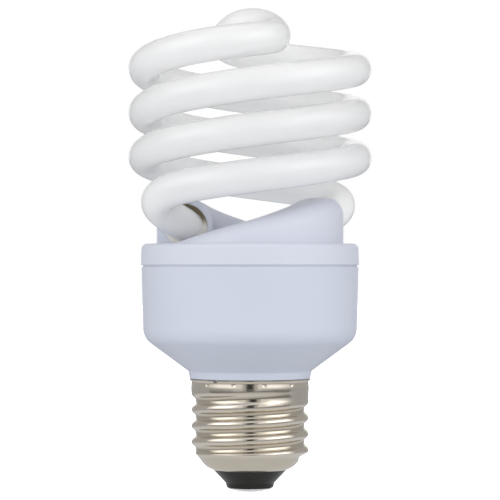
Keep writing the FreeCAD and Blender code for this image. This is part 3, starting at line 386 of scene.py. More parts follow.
nickel, tree, shader, place = finish("nickel_plate", 0.2, metallic=1.0)
split = node(tree, "ShaderNodeSeparateXYZ", {"Vector": place})
flat_place = node(tree, "ShaderNodeCombineXYZ", {"X": split.outputs["X"], "Y": split.outputs["Y"]})
from_axis = node(tree, "ShaderNodeVectorMath", {0: flat_place.outputs["Vector"]}, operation="LENGTH")
crest = node(tree, "ShaderNodeMapRange", {
    "Value": from_axis.outputs["Value"], "From Min": GROOVE_RADIUS * MM, "From Max": CREST_RADIUS * MM})
smears = speckle(tree, place, 3.0, 5.0, (1.0, 1.0, 6.0))
# Painted shade: the grooves take the darker colour and the crests the lighter one; the smears are
# random.
groove_shade_and_smears = calc(tree, "MULTIPLY_ADD", crest.outputs["Result"], 0.6, calc(tree, "MULTIPLY", smears, 0.4))
two_tones(tree, shader, groove_shade_and_smears, (0.67, 0.595, 0.475), (0.89, 0.82, 0.715))
lines = speckle(tree, place, 1.2, 6.0, (0.4, 0.4, 14.0))
tree.links.new(between(tree, lines, 0.05, 0.22), shader.inputs["Roughness"])
bump(tree, shader, lines, 0.01, 0.35)
print("made", nickel.name)

# %% [markdown]
# ### Black glass, solder and sealant
#
# The insulator is poured black glass with a slightly wavy skin. The contact is a blob of tinned metal.
# The sealant in the sockets is white at its bead and dark brown where it lies deep in the gap; the
# mesh carries that as an attribute named depth.

# %% Black glass, solder and sealant
black_glass, tree, shader, place = finish("black_glass", 0.22, IOR=1.52, Specular_IOR_Level=0.2)
swirl = speckle(tree, place, 2.5, 3.0)
two_tones(tree, shader, swirl, (0.013, 0.013, 0.011), (0.023, 0.023, 0.019))
bump(tree, shader, swirl, 0.08, 0.5)

tinned_metal, tree, shader, place = finish("tinned_metal", 0.42, metallic=0.35)
lumps = speckle(tree, place, 1.6, 4.0)
two_tones(tree, shader, lumps, (0.80, 0.80, 0.80), (0.92, 0.92, 0.93))
tree.links.new(between(tree, lumps, 0.28, 0.48), shader.inputs["Roughness"])
bump(tree, shader, lumps, 0.08, 0.5)

white_sealant, tree, shader, place = finish("white_sealant", 0.75)
deep_brown = node(tree, "ShaderNodeAttribute", attribute_name="depth").outputs["Fac"]
two_tones(tree, shader, deep_brown, (0.76, 0.74, 0.70), (0.20, 0.165, 0.10))
bump(tree, shader, speckle(tree, place, 0.6, 4.0), 0.1, 0.7)
print("made", black_glass.name, tinned_metal.name, white_sealant.name)

# %% [markdown]
# ## The glass spiral, with Geometry Nodes
#
# The tube follows a rule, so a node tree can draw it from a few sizes. Half of the path has four
# runs: the straight end in its socket, a curved run out of the socket, the regular turns, and half of
# the bridge over the top, which seen from above is a half circle from the coil to the axis. The first
# is a plain line and the second a Bezier curve. The other two are lines that a formula on their own
# length, from 0 to 1, puts in place. The points of all runs carry a number that says how far along the
# tube they are, and Points to Curves threads them in that order. The other half is the same, turned by
# half a turn.

# %% Sizes of the spiral
TUBE_RADIUS = 3.75
COIL_RADIUS = 23.75
COIL_PITCH = 20.0
COIL_START_Z = 65.3
COIL_END_Z = 98.45
BRIDGE_RISE = 6.8
CLIMB_START = 0.6
BEND_ANGLE = math.radians(60.0)
COIL_PULL = 19.0
SOCKET_PULL = 5.0
STRAIGHT_END = 7.0
HOOD_RADIUS = 14.75
SOCKET_RADIUS = 4.75
FLANGE_TOP_Z = 55.8
COVER_WALL = 1.2
INWARD, DROP = math.radians(22.0), math.radians(15.0)
HOOD_RISE, HOOD_TOE, HOOD_LEVEL, HOOD_EASE = 10.55, 30.0, 25.0, 0.12
STRAIGHT_POINTS, BEND_POINTS, COIL_POINTS, BRIDGE_POINTS, RING_POINTS = 10, 48, 420, 90, 56
BEZIER_STEPS = 64
SAME_POINT = 0.02 * MM


def hood_crown(turn):
    """Height of a hood's top, at degrees from its low end."""
    share = (turn - HOOD_TOE) / (180.0 - HOOD_TOE - HOOD_LEVEL)
    climb = (math.hypot(share, HOOD_EASE) - math.hypot(share - 1.0, HOOD_EASE) + 1.0) / 2.0
    return FLANGE_TOP_Z + HOOD_RISE * climb


into_socket = Vector((math.sin(INWARD) * math.cos(DROP), math.cos(INWARD) * math.cos(DROP),
                      -math.sin(DROP)))
mouth = Vector((-HOOD_RADIUS, 0.0, hood_crown(180.0) - COVER_WALL - SOCKET_RADIUS / math.cos(DROP)))
coil_sweep = math.tau * (COIL_END_Z - COIL_START_Z) / COIL_PITCH
bend_turn = math.pi + BEND_ANGLE
coil_point = Vector((COIL_RADIUS * math.cos(bend_turn), COIL_RADIUS * math.sin(bend_turn),
                     COIL_START_Z + COIL_PITCH * BEND_ANGLE / math.tau))
coil_heading = Vector((-COIL_RADIUS * math.sin(bend_turn), COIL_RADIUS * math.cos(bend_turn),
                       COIL_PITCH / math.tau)).normalized()
print("socket mouth in mm:", [round(v, 2) for v in mouth])
print("turns of each strand:", round(coil_sweep / math.tau, 2))

# %% The node tree's inputs
spiral = bpy.data.node_groups.new("spiral_tube_path", "GeometryNodeTree")
spiral_values = {
    "Tube Radius": TUBE_RADIUS * MM, "Coil Radius": COIL_RADIUS * MM, "Pitch": COIL_PITCH * MM,
    "Start Height": COIL_START_Z * MM, "Sweep": coil_sweep, "Bend Angle": BEND_ANGLE,
    "Bridge Rise": BRIDGE_RISE * MM, "Climb Start": CLIMB_START,
    "Tube End": (mouth + into_socket * STRAIGHT_END) * MM, "Mouth": mouth * MM,
    "Mouth Pull": (mouth - into_socket * SOCKET_PULL) * MM,
    "Coil Pull": (coil_point - coil_heading * COIL_PULL) * MM, "Coil Point": coil_point * MM,
}
spiral_sockets = {}
for label, value in spiral_values.items():
    kind = "NodeSocketVector" if isinstance(value, Vector) else "NodeSocketFloat"
    spiral_sockets[label] = spiral.interface.new_socket(label, in_out="INPUT", socket_type=kind)
spiral.interface.new_socket("Geometry", in_out="OUTPUT", socket_type="NodeSocketGeometry")
size = node(spiral, "NodeGroupInput").outputs
print("named inputs:", len(spiral_sockets))


# %% One run of the path
def numbered_run(curve, count, first, position=None):
    """Count points on a curve, moved to a position, each with its place along the tube."""
    run = node(spiral, "GeometryNodeResampleCurve", {"Curve": curve, "Count": count}).outputs["Curve"]
    share = node(spiral, "GeometryNodeSplineParameter").outputs["Factor"]
    along = calc(spiral, "ADD", share, first)
    run = node(spiral, "GeometryNodeStoreNamedAttribute", {
        "Geometry": run, "Name": "along", "Value": along,
    }, data_type="FLOAT", domain="POINT").outputs["Geometry"]
    if position is None:
        return run
    moved = node(spiral, "GeometryNodeSetPosition", {"Geometry": run, "Position": position})
    return moved.outputs["Geometry"]


def unit_line():
    return node(spiral, "GeometryNodeCurvePrimitiveLine").outputs["Curve"]


def around(radius, turn):
    """X and Y at a radius and an angle."""
    x = calc(spiral, "MULTIPLY", radius, calc(spiral, "COSINE", turn))
    y = calc(spiral, "MULTIPLY", radius, calc(spiral, "SINE", turn))
    return x, y


# %% The straight end and the bend out of the socket
straight = node(spiral, "GeometryNodeCurvePrimitiveLine", {
    "Start": size["Tube End"], "End": size["Mouth"]})
straight_run = numbered_run(straight.outputs["Curve"], STRAIGHT_POINTS, 0.0)
bend = node(spiral, "GeometryNodeCurvePrimitiveBezierSegment", {
    "Resolution": BEZIER_STEPS, "Start": size["Mouth"], "Start Handle": size["Mouth Pull"],
    "End Handle": size["Coil Pull"], "End": size["Coil Point"]}, mode="POSITION")
bend_run = numbered_run(bend.outputs["Curve"], BEND_POINTS, 1.0)

# %% The regular turns
share = node(spiral, "GeometryNodeSplineParameter").outputs["Factor"]
free_sweep = calc(spiral, "SUBTRACT", size["Sweep"], size["Bend Angle"])
swept = calc(spiral, "MULTIPLY_ADD", share, free_sweep, size["Bend Angle"])
x, y = around(size["Coil Radius"], calc(spiral, "ADD", swept, math.pi))
climb = calc(spiral, "DIVIDE", calc(spiral, "MULTIPLY", size["Pitch"], swept), math.tau)
z = calc(spiral, "ADD", size["Start Height"], climb)
coil_position = node(spiral, "ShaderNodeCombineXYZ", {"X": x, "Y": y, "Z": z}).outputs["Vector"]
coil_run = numbered_run(unit_line(), COIL_POINTS, 2.0, coil_position)

# %% Half of the bridge
half_radius = calc(spiral, "MULTIPLY", size["Coil Radius"], 0.5)
start_turn = calc(spiral, "ADD", size["Sweep"], math.pi)
x_centre, y_centre = around(half_radius, start_turn)
x_round, y_round = around(half_radius, calc(spiral, "MULTIPLY_ADD", share, math.pi, start_turn))
steady = calc(spiral, "MULTIPLY", size["Pitch"], 0.25)
steady_part = calc(spiral, "MULTIPLY", steady, calc(spiral, "MINIMUM", share, size["Climb Start"]))
span = calc(spiral, "SUBTRACT", 1.0, size["Climb Start"])
climbed = calc(spiral, "DIVIDE", calc(spiral, "SUBTRACT", share, size["Climb Start"]), span)
climbed = calc(spiral, "MAXIMUM", climbed, 0.0)
rest = calc(spiral, "SUBTRACT", 1.0, climbed)
ease = calc(spiral, "MULTIPLY", calc(spiral, "MULTIPLY", climbed, climbed),
            calc(spiral, "MULTIPLY_ADD", climbed, -2.0, 3.0))
low_part = calc(spiral, "MULTIPLY", steady, size["Climb Start"])
climb_part = calc(spiral, "MULTIPLY", ease, calc(spiral, "SUBTRACT", size["Bridge Rise"], low_part))
glide = calc(spiral, "MULTIPLY", climbed, calc(spiral, "MULTIPLY", rest, rest))
glide_part = calc(spiral, "MULTIPLY", calc(spiral, "MULTIPLY", steady, span), glide)
rise = calc(spiral, "ADD", calc(spiral, "ADD", steady_part, climb_part), glide_part)
coil_climb = calc(spiral, "DIVIDE", calc(spiral, "MULTIPLY", size["Pitch"], size["Sweep"]), math.tau)
z = calc(spiral, "ADD", calc(spiral, "ADD", size["Start Height"], coil_climb), rise)
bridge_position = node(spiral, "ShaderNodeCombineXYZ", {
    "X": calc(spiral, "ADD", x_centre, x_round), "Y": calc(spiral, "ADD", y_centre, y_round), "Z": z})
bridge_run = numbered_run(unit_line(), BRIDGE_POINTS, 3.0, bridge_position.outputs["Vector"])

# %% Thread the points together and give the path its glass
half = node(spiral, "GeometryNodeJoinGeometry")
for run in (straight_run, bend_run, coil_run, bridge_run):
    spiral.links.new(run, half.inputs["Geometry"])
turned_half = node(spiral, "GeometryNodeTransform", {
    "Geometry": half.outputs["Geometry"], "Rotation": (0.0, 0.0, math.pi)}).outputs["Geometry"]
along = node(spiral, "GeometryNodeInputNamedAttribute", {"Name": "along"}, data_type="FLOAT")
along = along.outputs["Attribute"]
turned_half = node(spiral, "GeometryNodeStoreNamedAttribute", {
    "Geometry": turned_half, "Name": "along", "Value": calc(spiral, "SUBTRACT", TUBE_RUNS, along)},
    data_type="FLOAT", domain="POINT").outputs["Geometry"]
whole = node(spiral, "GeometryNodeJoinGeometry")
spiral.links.new(half.outputs["Geometry"], whole.inputs["Geometry"])
spiral.links.new(turned_half, whole.inputs["Geometry"])
points = node(spiral, "GeometryNodeCurveToPoints", {"Curve": whole.outputs["Geometry"]},
              mode="EVALUATED")
merged = node(spiral, "GeometryNodeMergeByDistance", {
    "Geometry": points.outputs["Points"], "Distance": SAME_POINT})
tube_line = node(spiral, "GeometryNodePointsToCurves", {
    "Points": merged.outputs["Geometry"], "Weight": along})
ring = node(spiral, "GeometryNodeCurvePrimitiveCircle", {
    "Resolution": RING_POINTS, "Radius": size["Tube Radius"]})
glass = node(spiral, "GeometryNodeCurveToMesh", {
    "Curve": tube_line.outputs["Curves"], "Profile Curve": ring.outputs["Curve"], "Fill Caps": True})
glass = node(spiral, "GeometryNodeSetShadeSmooth", {"Geometry": glass.outputs["Mesh"]})
glass = node(spiral, "GeometryNodeRealizeInstances", {"Geometry": glass.outputs["Geometry"]})
glass = node(spiral, "GeometryNodeSetMaterial", {
    "Geometry": glass.outputs["Geometry"], "Material": milky_glass})
node(spiral, "NodeGroupOutput", {"Geometry": glass.outputs["Geometry"]})
print("nodes in the spiral's tree:", len(spiral.nodes))


# %% Turn the tree's result into a plain mesh
def plain_mesh(name, tree, values, sockets):
    """An object with the tree's result as its own mesh, and no modifier."""
    made = bpy.data.objects.new(name, bpy.data.meshes.new(name + "_seed"))
    scene.collection.objects.link(made)
    modifier = made.modifiers.new("tree", "NODES")
    modifier.node_group = tree
    for label, value in values.items():
        modifier[sockets[label].identifier] = value
    ready = made.evaluated_get(bpy.context.evaluated_depsgraph_get())
    mesh = bpy.data.meshes.new_from_object(ready)
    made.modifiers.clear()
    made.data = mesh
    mesh.name = name
    return made


glass_spiral = plain_mesh("glass_spiral", spiral, spiral_values, spiral_sockets)
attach(glass_spiral, "root")
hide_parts("spiral_tube")
print("glass faces:", len(glass_spiral.data.polygons),
      "height in mm:", round(max(v.co.z for v in glass_spiral.data.vertices) / MM, 2))

# %% [markdown]
# ## Turned shapes
#
# Housing, flange, black glass and contact are turned: a profile swept round the axis. Blender has a
# Screw modifier for that. Building the rings in code gives the same mesh, and lets us round each
# corner of the profile with its own radius and put a loop close to each end of a straight run, which
# keeps flat places flat under smooth shading.

# %% Profiles and skins
def rounded(corners, steps=8):
    """A closed profile of (radius, height, fillet) in mm, with each fillet drawn as an arc."""
    points = []
    for index, (x, z, fillet) in enumerate(corners):
        here = Vector((x, z))
        before = (Vector(corners[index - 1][:2]) - here)
        after = (Vector(corners[(index + 1) % len(corners)][:2]) - here)
        if fillet == 0.0:
            points.append(here)
            continue
        before.normalize()
        after.normalize()
        half_angle = before.angle(after) / 2.0
        reach = fillet / math.tan(half_angle)
        middle = here + (before + after).normalized() * (fillet / math.sin(half_angle))
        start = here + before * reach - middle
        end = here + after * reach - middle
        sweep = start.angle_signed(end)
        for step in range(steps + 1):
            turn = -sweep * step / steps
            spun = Vector((start.x * math.cos(turn) - start.y * math.sin(turn),
                           start.x * math.sin(turn) + start.y * math.cos(turn)))
            points.append(middle + spun)
    return points


def with_hold_loops(points, gap=0.08):
    """Extra points near both ends of each long straight run."""
    held = []
    for here, there in zip(points, points[1:] + points[:1]):
        held.append(here)
        run = there - here
        if run.length > 6.0 * gap:
            held += [here + run.normalized() * gap, there - run.normalized() * gap]
    return held


def skin(name, rings, material, loop=False, sharp=30.0):
    """A mesh through rings of points in mm, each ring closed, with its normals turned outwards."""
    size = len(rings[0])
    points = [Vector(point) * MM for ring in rings for point in ring]
    faces = []
    for level in range(len(rings) if loop else len(rings) - 1):
        low, high = level * size, (level + 1) % len(rings) * size
        faces += [(low + k, low + (k + 1) % size, high + (k + 1) % size, high + k) for k in range(size)]
    mesh = bpy.data.meshes.new(name)
    mesh.from_pydata(points, [], faces)
    work = bmesh.new()
    work.from_mesh(mesh)
    bmesh.ops.remove_doubles(work, verts=work.verts, dist=0.0005 * MM)
    bmesh.ops.recalc_face_normals(work, faces=work.faces)
    work.to_mesh(mesh)
    work.free()
    mesh.shade_smooth()
    mesh.set_sharp_from_angle(angle=math.radians(sharp))
    mesh.materials.append(material)
    made = bpy.data.objects.new(name, mesh)
    scene.collection.objects.link(made)
    return made


def turned(name, corners, material, segments=288):
    profile = with_hold_loops(rounded(corners))
    rings = []
    for point in profile:
        turns = [math.tau * k / segments for k in range(segments)]
        rings.append([(point.x * math.cos(t), point.x * math.sin(t), point.y) for t in turns])
    return skin(name, rings, material, loop=True)


def keep(piece, slot, *nodes):
    """The piece stands for CAD nodes, which are hidden."""
    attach(piece, "root")
    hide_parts(*nodes)
    print(piece.name, "faces:", len(piece.data.polygons))


# %% [markdown]
# ## The ballast housing
#
# A bowl with a straight, slightly tapered wall, a large round corner, a cone down to the neck, and a
# spigot that disappears in the metal shell. Its upper edge is only just broken, so that the seam to
# the cover stays a thin line.

# %% Housing
housing = turned("housing_bowl", [
    (11.45, 22.4, 0.0), (12.75, 22.4, 0.0), (12.75, 25.5, 0.0), (13.65, 25.5, 0.15), (13.9, 27.1, 0.5),
    (24.05, 34.6, 4.2), (24.45, 50.6, 0.2), (22.85, 50.6, 0.1), (22.85, 44.9, 0.0), (22.45, 35.9, 2.6),
    (11.45, 27.7, 0.5),
], housing_plastic_painted_shade)
keep(housing, "white_plastic", "ballast_housing")

# %% [markdown]
# ## The cover
#
# The cover has a flange with a rounded upper edge, a groove below it, and two hoods that climb round
# it. A hood is a rounded section moved along its path while it turns, which is a skin through rings
# again: one ring for each step, a last ring slightly smaller for the broken edge at the mouth, then the
# rings of the bore. The hood's foot sinks into the flange.

# %% Flange
flange = turned("cover_flange", [
    (21.4, 46.6, 0.0), (22.7, 46.6, 0.0), (22.7, 50.6, 0.0), (24.15, 50.6, 0.0), (24.15, 51.0, 0.0),
    (24.6, 51.0, 0.15), (24.45, 55.8, 1.2), (0.0, 55.8, 0.0), (0.0, 54.6, 0.0), (21.4, 54.6, 0.0),
], cover_plastic)
print("flange faces:", len(flange.data.polygons))

# %% Hoods
HOOD_HALF_WIDTH = SOCKET_RADIUS / math.cos(INWARD) + COVER_WALL
HOOD_FOOT_Z = 47.8
INNER_CORNER, OUTER_CORNER, CORNER_STEPS = 6.0, 4.0, 14
SIDE_PARTS, CROWN_PARTS, FOOT_PARTS = 8, 4, 10
HOOD_STEP = 2.0
BORE_DEPTHS = (0.2, 2.0, 4.0, 8.0)
EDGE_BREAK, BORE_BREAK = 0.22, 0.18


def spaced(here, there, parts):
    return [here.lerp(there, k / parts) for k in range(parts)]


def hood_section(turn, inset=0.0):
    """The same number of points for every section, as distance from the axis and height."""
    top = hood_crown(turn) - inset
    inner, outer = HOOD_RADIUS - HOOD_HALF_WIDTH + inset, HOOD_RADIUS + HOOD_HALF_WIDTH - inset
    foot_in, *arcs, foot_out = rounded([
        (inner, HOOD_FOOT_Z, 0.0), (inner, top, INNER_CORNER - inset),
        (outer, top, OUTER_CORNER - inset), (outer, HOOD_FOOT_Z, 0.0)], CORNER_STEPS)
    arc_in, arc_out = arcs[:CORNER_STEPS + 1], arcs[CORNER_STEPS + 1:]
    return (spaced(foot_in, arc_in[0], SIDE_PARTS) + arc_in[:-1]
            + spaced(arc_in[-1], arc_out[0], CROWN_PARTS) + arc_out[:-1]
            + spaced(arc_out[-1], foot_out, SIDE_PARTS) + spaced(foot_out, foot_in, FOOT_PARTS))


def hood_ring(turn, inset=0.0):
    """The section set at degrees from the low end, for the hood whose mouth is at the left."""
    angle = math.radians(turn)
    return [Vector((p.x * math.cos(angle), p.x * math.sin(angle), p.y))
            for p in hood_section(turn, inset)]


def bore_ring(deep, wider=0.0):
    """Where lines from the socket's axis to the mouth's edge meet the bore, moved along the bore."""
    ring = []
    for point in hood_ring(180.0):
        out = Vector((point.x - mouth.x, 0.0, point.z - mouth.z)).normalized()
        reach = (SOCKET_RADIUS + wider) / math.sqrt(1.0 - out.dot(into_socket) ** 2)
        ring.append(mouth + out * reach + into_socket * deep)
    return ring


def middle_of(ring):
    return [sum(ring, Vector()) / len(ring)] * len(ring)


hood_rings = [hood_ring(HOOD_STEP * step) for step in range(round(180.0 / HOOD_STEP))]
hood_rings.append(hood_ring(180.0 - math.degrees(EDGE_BREAK / HOOD_RADIUS)))
hood_rings.append(hood_ring(180.0, EDGE_BREAK))
hood_rings += [bore_ring(0.0, BORE_BREAK)] + [bore_ring(deep) for deep in BORE_DEPTHS]
hood_rings = [middle_of(hood_rings[0])] + hood_rings + [middle_of(hood_rings[-1])]
hood_back = skin("hood_left_mouth", hood_rings, cover_plastic)
half_turn = [[Vector((-p.x, -p.y, p.z)) for p in ring] for ring in hood_rings]
hood_front = skin("hood_right_mouth", half_turn, cover_plastic)
for piece in (flange, hood_back, hood_front):
    keep(piece, "white_plastic", "tube_cover")

# %% [markdown]
# ## The sealant
#
# A ring of white paste is pressed into the gap between glass and socket. It was put in by hand: at the
# lower side it stands out as a pale bead on the glass, at the upper side it is sunk and brown. The ring
# is a skin through eight rings of points, and how far each point is sunk is kept as an attribute for
# the finish.

# %% Sealant
SEAL_STEPS, SEAL_DEPTH = 72, 6.0
SEAL_INNER, SEAL_OUTER = TUBE_RADIUS - 0.12, SOCKET_RADIUS + 0.05
SUNK_AT, BEAD_AT = math.radians(62.0), math.radians(-28.0)
seal_side = Vector((into_socket.y, -into_socket.x, 0.0)).normalized()
seal_up = seal_side.cross(into_socket)


def smooth(value):
    value = min(1.0, max(0.0, value))
    return value * value * (3.0 - 2.0 * value)


def sunk(turn):
    """1 in the middle of the sunk part, 0 on the other side of the ring."""
    return max(0.0, math.cos(turn - SUNK_AT)) ** 2


def level_on_glass(turn):
    """How deep the paste meets the glass, with a little unevenness."""
    bead = max(0.0, math.cos(turn - BEAD_AT)) ** 2
    return 0.2 + 1.5 * sunk(turn) - 1.5 * bead + 0.08 * math.sin(5.0 * turn)


def level_on_bore(turn):
    """How deep the paste meets the socket."""
    return 0.15 + 0.8 * sunk(turn) + 0.05 * math.sin(7.0 * turn)


def seal_ring(radius, level):
    ring = []
    for k in range(SEAL_STEPS):
        turn = math.tau * k / SEAL_STEPS
        out = seal_side * math.cos(turn) + seal_up * math.sin(turn)
        slope = -out.y / into_socket.y
        ring.append(mouth + out * radius + into_socket * (level(turn) + slope * radius))
    return ring


front_in, front_out = seal_ring(SEAL_INNER, level_on_glass), seal_ring(SEAL_OUTER, level_on_bore)
bulges = [[a.lerp(b, share) - into_socket * rise for a, b in zip(front_in, front_out)]
          for share, rise in ((0.2, 0.10), (0.4, 0.17), (0.6, 0.17), (0.8, 0.10))]
backs = [seal_ring(radius, lambda turn: SEAL_DEPTH) for radius in (SEAL_OUTER, SEAL_INNER)]
seal_rings = [front_in] + bulges + [front_out] + backs
for name, sign in (("sealant_left", 1.0), ("sealant_right", -1.0)):
    rings = [[Vector((sign * p.x, sign * p.y, p.z)) for p in ring] for ring in seal_rings]
    sealant = skin(name, rings, white_sealant, loop=True, sharp=60.0)
    depth = sealant.data.attributes.new("depth", "FLOAT", "POINT")
    for vertex in sealant.data.vertices:
        local = Vector((sign * vertex.co.x, sign * vertex.co.y, vertex.co.z)) / MM
        out = local - mouth
        turn = math.atan2(out.dot(seal_up), out.dot(seal_side))
        depth.data[vertex.index].value = smooth(1.6 * sunk(turn) - 0.2)
    keep(sealant, "sealant", "tube_sealant")

# %% [markdown]
# ## The screw shell
#
# The thread is rolled into thin metal. Its section is a row of equal arcs, crest and groove in turn,
# that meet on the flanks, so the distance from the axis is known for every height and angle and the
# shell can be a fine grid. The first groove fades out below the skirt, the last crest drops into the
# cup. The rim turns out under the neck, twelve small dents stake the skirt to the housing, and one nick
# sits in the rim.

# %% Screw shell
THREAD_PITCH, THREAD_DEPTH = 3.629, 1.0
CREST_AT_LEFT_Z = 18.5
CUP_FOOT_Z, CUP_TOP_Z, THREAD_TOP_Z, RIM_Z, SKIRT_TOP_Z = 4.9, 7.7, 22.0, 24.75, 25.4
CUP_RADIUS, RIM_FLARE, SHELL_WALL, CUP_WALL = 11.5, 0.4, 0.35, 0.25
SKIRT_BULGE = 0.08
# Where a change of the radius starts, and the height that it takes.
CREST_START_Z, CREST_RUN = 7.5, 1.6
GROOVE_START_Z, GROOVE_START_RUN = 7.0, 1.2
GROOVE_END_Z, GROOVE_END_RUN = 21.85, 1.3
BULGE_START_Z, BULGE_START_RUN, BULGE_END_RUN = 21.6, 1.5, 1.2
FLARE_RUN = 0.4
STAKE_ANGLES = [math.radians(14.0 + 30.0 * k) for k in range(12)]
STAKE_Z, STAKE_REACH, STAKE_DEPTH = 24.35, 0.5, 0.10
NICK_ANGLE, NICK_REACH, NICK_DROP = math.radians(-124.5), 0.75, 0.55
NICK_START_Z, NICK_RUN = 24.3, 1.1
SHELL_SEGMENTS, THREAD_RINGS, SKIRT_RINGS = 420, 116, 34
FLANK = 2.0 * math.atan(2.0 * THREAD_DEPTH / THREAD_PITCH)
ARC = THREAD_PITCH / (4.0 * math.sin(FLANK))


def thread_drop(share):
    """Depth below the crest, at 0 on a crest and 0.5 in a groove: two arcs that meet on the flank."""
    along = share * THREAD_PITCH
    if share < 0.25:
        return ARC - math.sqrt(ARC ** 2 - along ** 2)
    return THREAD_DEPTH - ARC + math.sqrt(ARC ** 2 - (THREAD_PITCH / 2.0 - along) ** 2)


def apart(turn, angle):
    """The shortest way round from one angle to another."""
    return (turn - angle + math.pi) % math.tau - math.pi


def shell_radius(height, turn):
    """Distance of the shell's outside from the axis: cup, thread, skirt, rim and dents in turn."""
    to_crest = smooth((height - CREST_START_Z) / CREST_RUN)
    crest_here = CUP_RADIUS + (CREST_RADIUS - CUP_RADIUS) * to_crest
    place = (height - CREST_AT_LEFT_Z) / THREAD_PITCH - (turn - math.pi) / math.tau
    share = place - round(place)
    groove_z = height + math.copysign(0.5, share) * THREAD_PITCH - share * THREAD_PITCH
    fade = smooth((GROOVE_END_Z - groove_z) / GROOVE_END_RUN)
    fade *= smooth((groove_z - GROOVE_START_Z) / GROOVE_START_RUN)
    radius = crest_here - thread_drop(abs(share)) * fade
    bulge = SKIRT_BULGE * smooth((height - BULGE_START_Z) / BULGE_START_RUN)
    radius += bulge * smooth((RIM_Z - height) / BULGE_END_RUN)
    radius += RIM_FLARE * smooth((height - RIM_Z) / FLARE_RUN)
    if abs(height - STAKE_Z) < STAKE_REACH:
        for angle in STAKE_ANGLES:
            share = math.hypot(apart(turn, angle) * CREST_RADIUS, height - STAKE_Z) / STAKE_REACH
            radius -= STAKE_DEPTH * (1.0 - share * share) ** 2 if share < 1.0 else 0.0
    return radius


def nick(height, turn):
    """How far the rim is pushed down at the nick."""
    share = abs(apart(turn, NICK_ANGLE)) * CREST_RADIUS / NICK_REACH
    if share >= 1.0:
        return 0.0
    return NICK_DROP * smooth((height - NICK_START_Z) / NICK_RUN) * (1.0 - share * share) ** 2


def level_ring(height, inset=0.0, radius=None):
    """One ring of the shell: at a given radius, or at the thread's own."""
    turns = [math.tau * k / SHELL_SEGMENTS for k in range(SHELL_SEGMENTS)]
    radii = [shell_radius(height, t) - inset if radius is None else radius - inset for t in turns]
    return [(r * math.cos(t), r * math.sin(t), height - nick(height, t)) for r, t in zip(radii, turns)]


cup = rounded([(8.35, CUP_FOOT_Z, 0.0), (10.15, 5.64, 4.5), (CUP_RADIUS, CUP_TOP_Z, 0.0)], 10)[:-1]
shell_rings = [level_ring(p.y, 0.0, p.x) for p in cup]
heights = [CUP_TOP_Z + (THREAD_TOP_Z - CUP_TOP_Z) * k / THREAD_RINGS for k in range(THREAD_RINGS)]
heights += [THREAD_TOP_Z + (SKIRT_TOP_Z - THREAD_TOP_Z) * k / SKIRT_RINGS
            for k in range(SKIRT_RINGS + 1)]
# The inside is coarser: the rim's ring, then every sixth one from a little below it.
inside_heights = heights[-1:] + heights[-9::-6]
shell_rings += [level_ring(h) for h in heights]
shell_rings += [level_ring(h, SHELL_WALL) for h in inside_heights]
shell_rings += [level_ring(p.y + CUP_WALL, CUP_WALL, p.x) for p in reversed(cup)]
shell = skin("screw_shell_metal", shell_rings, nickel, loop=True, sharp=40.0)
keep(shell, "nickel", "screw_shell")

# %% [markdown]
# ## Black glass and contact
#
# Both close the lamp's foot. The glass is a shallow cone with a rounded step, the contact a flat dome
# of solder in its middle.

# %% Foot of the cap
insulator = turned("black_glass_foot", [
    (0.0, 0.8, 0.0), (5.2, 0.8, 0.3), (5.5, 1.9, 0.3), (8.3, CUP_FOOT_Z, 0.0), (8.3, 7.0, 0.0),
    (0.0, 7.0, 0.0),
], black_glass)
keep(insulator, "black_glass", "cap_insulator")
contact = turned("solder_contact", [
    (0.0, 0.0, 0.0), (2.4, 0.0, 2.0), (4.75, 0.55, 0.12), (4.75, 0.8, 0.0), (0.0, 0.8, 0.0),
], tinned_metal)
keep(contact, "contact_metal", "centre_contact")

# %% [markdown]
# ## Finishes for the parts inside
#
# The ballast is hidden in the housing, and its CAD solids stay as they are. They still get proper
# finishes, because somebody may open the lamp: a dull or shiny base, two close tones that vary over a
# few millimetres, and a bump of the right size.

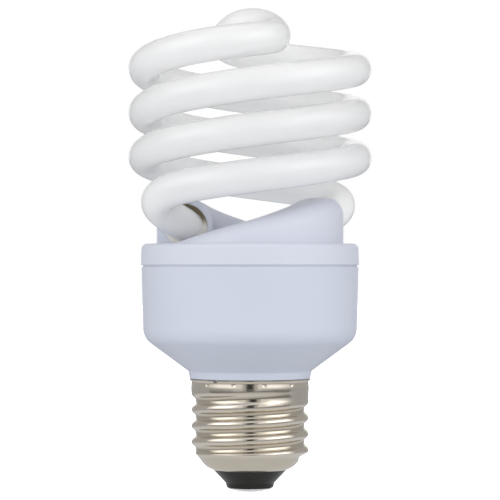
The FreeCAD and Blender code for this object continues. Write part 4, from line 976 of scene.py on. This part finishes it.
# %% Parts inside
inside_looks = {
    "board": (0.55, 0.0, (0.32, 0.22, 0.09), (0.40, 0.29, 0.13), 2.0, 0.03),
    "ferrite": (0.62, 0.0, (0.035, 0.034, 0.036), (0.065, 0.062, 0.062), 0.8, 0.05),
    "copper": (0.28, 1.0, (0.62, 0.24, 0.10), (0.80, 0.36, 0.17), 0.6, 0.05),
    "bobbin_plastic": (0.45, 0.0, (0.05, 0.05, 0.055), (0.08, 0.08, 0.085), 1.5, 0.02),
    "capacitor_sleeve": (0.32, 0.0, (0.020, 0.028, 0.075), (0.030, 0.040, 0.100), 3.0, 0.02),
    "film_coating": (0.38, 0.0, (0.38, 0.055, 0.025), (0.48, 0.080, 0.035), 2.0, 0.06),
    "black_epoxy": (0.50, 0.0, (0.018, 0.018, 0.018), (0.036, 0.036, 0.036), 0.7, 0.03),
    "resistor_coating": (0.48, 0.0, (0.44, 0.33, 0.20), (0.55, 0.42, 0.27), 0.9, 0.04),
    "bare_wire": (0.26, 1.0, (0.66, 0.65, 0.62), (0.80, 0.79, 0.77), 0.8, 0.02),
    "red_sleeve": (0.42, 0.0, (0.40, 0.022, 0.018), (0.50, 0.035, 0.028), 1.6, 0.02),
    "white_sleeve": (0.42, 0.0, (0.66, 0.66, 0.63), (0.76, 0.76, 0.74), 1.6, 0.02),
}
inside_finishes = {}
for name, (roughness, metallic, first, second, blotch, deep) in inside_looks.items():
    made, tree, shader, place = finish(name + "_finish", roughness, metallic)
    patches = speckle(tree, place, blotch, 4.0)
    two_tones(tree, shader, patches, first, second)
    sheen = between(tree, patches, roughness - 0.08, roughness + 0.10)
    tree.links.new(sheen, shader.inputs["Roughness"])
    bump(tree, shader, patches, deep, 0.6)
    inside_finishes[name] = made
outside_finishes = {
    "phosphor_glass": milky_glass, "white_plastic": cover_plastic, "sealant": white_sealant,
    "nickel": nickel, "black_glass": black_glass, "contact_metal": tinned_metal,
}
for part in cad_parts.values():
    for slot in part.material_slots:
        plain_name = slot.material.name.split(".")[0]
        slot.material = (inside_finishes | outside_finishes)[plain_name]
print("finished CAD nodes:", len(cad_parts))
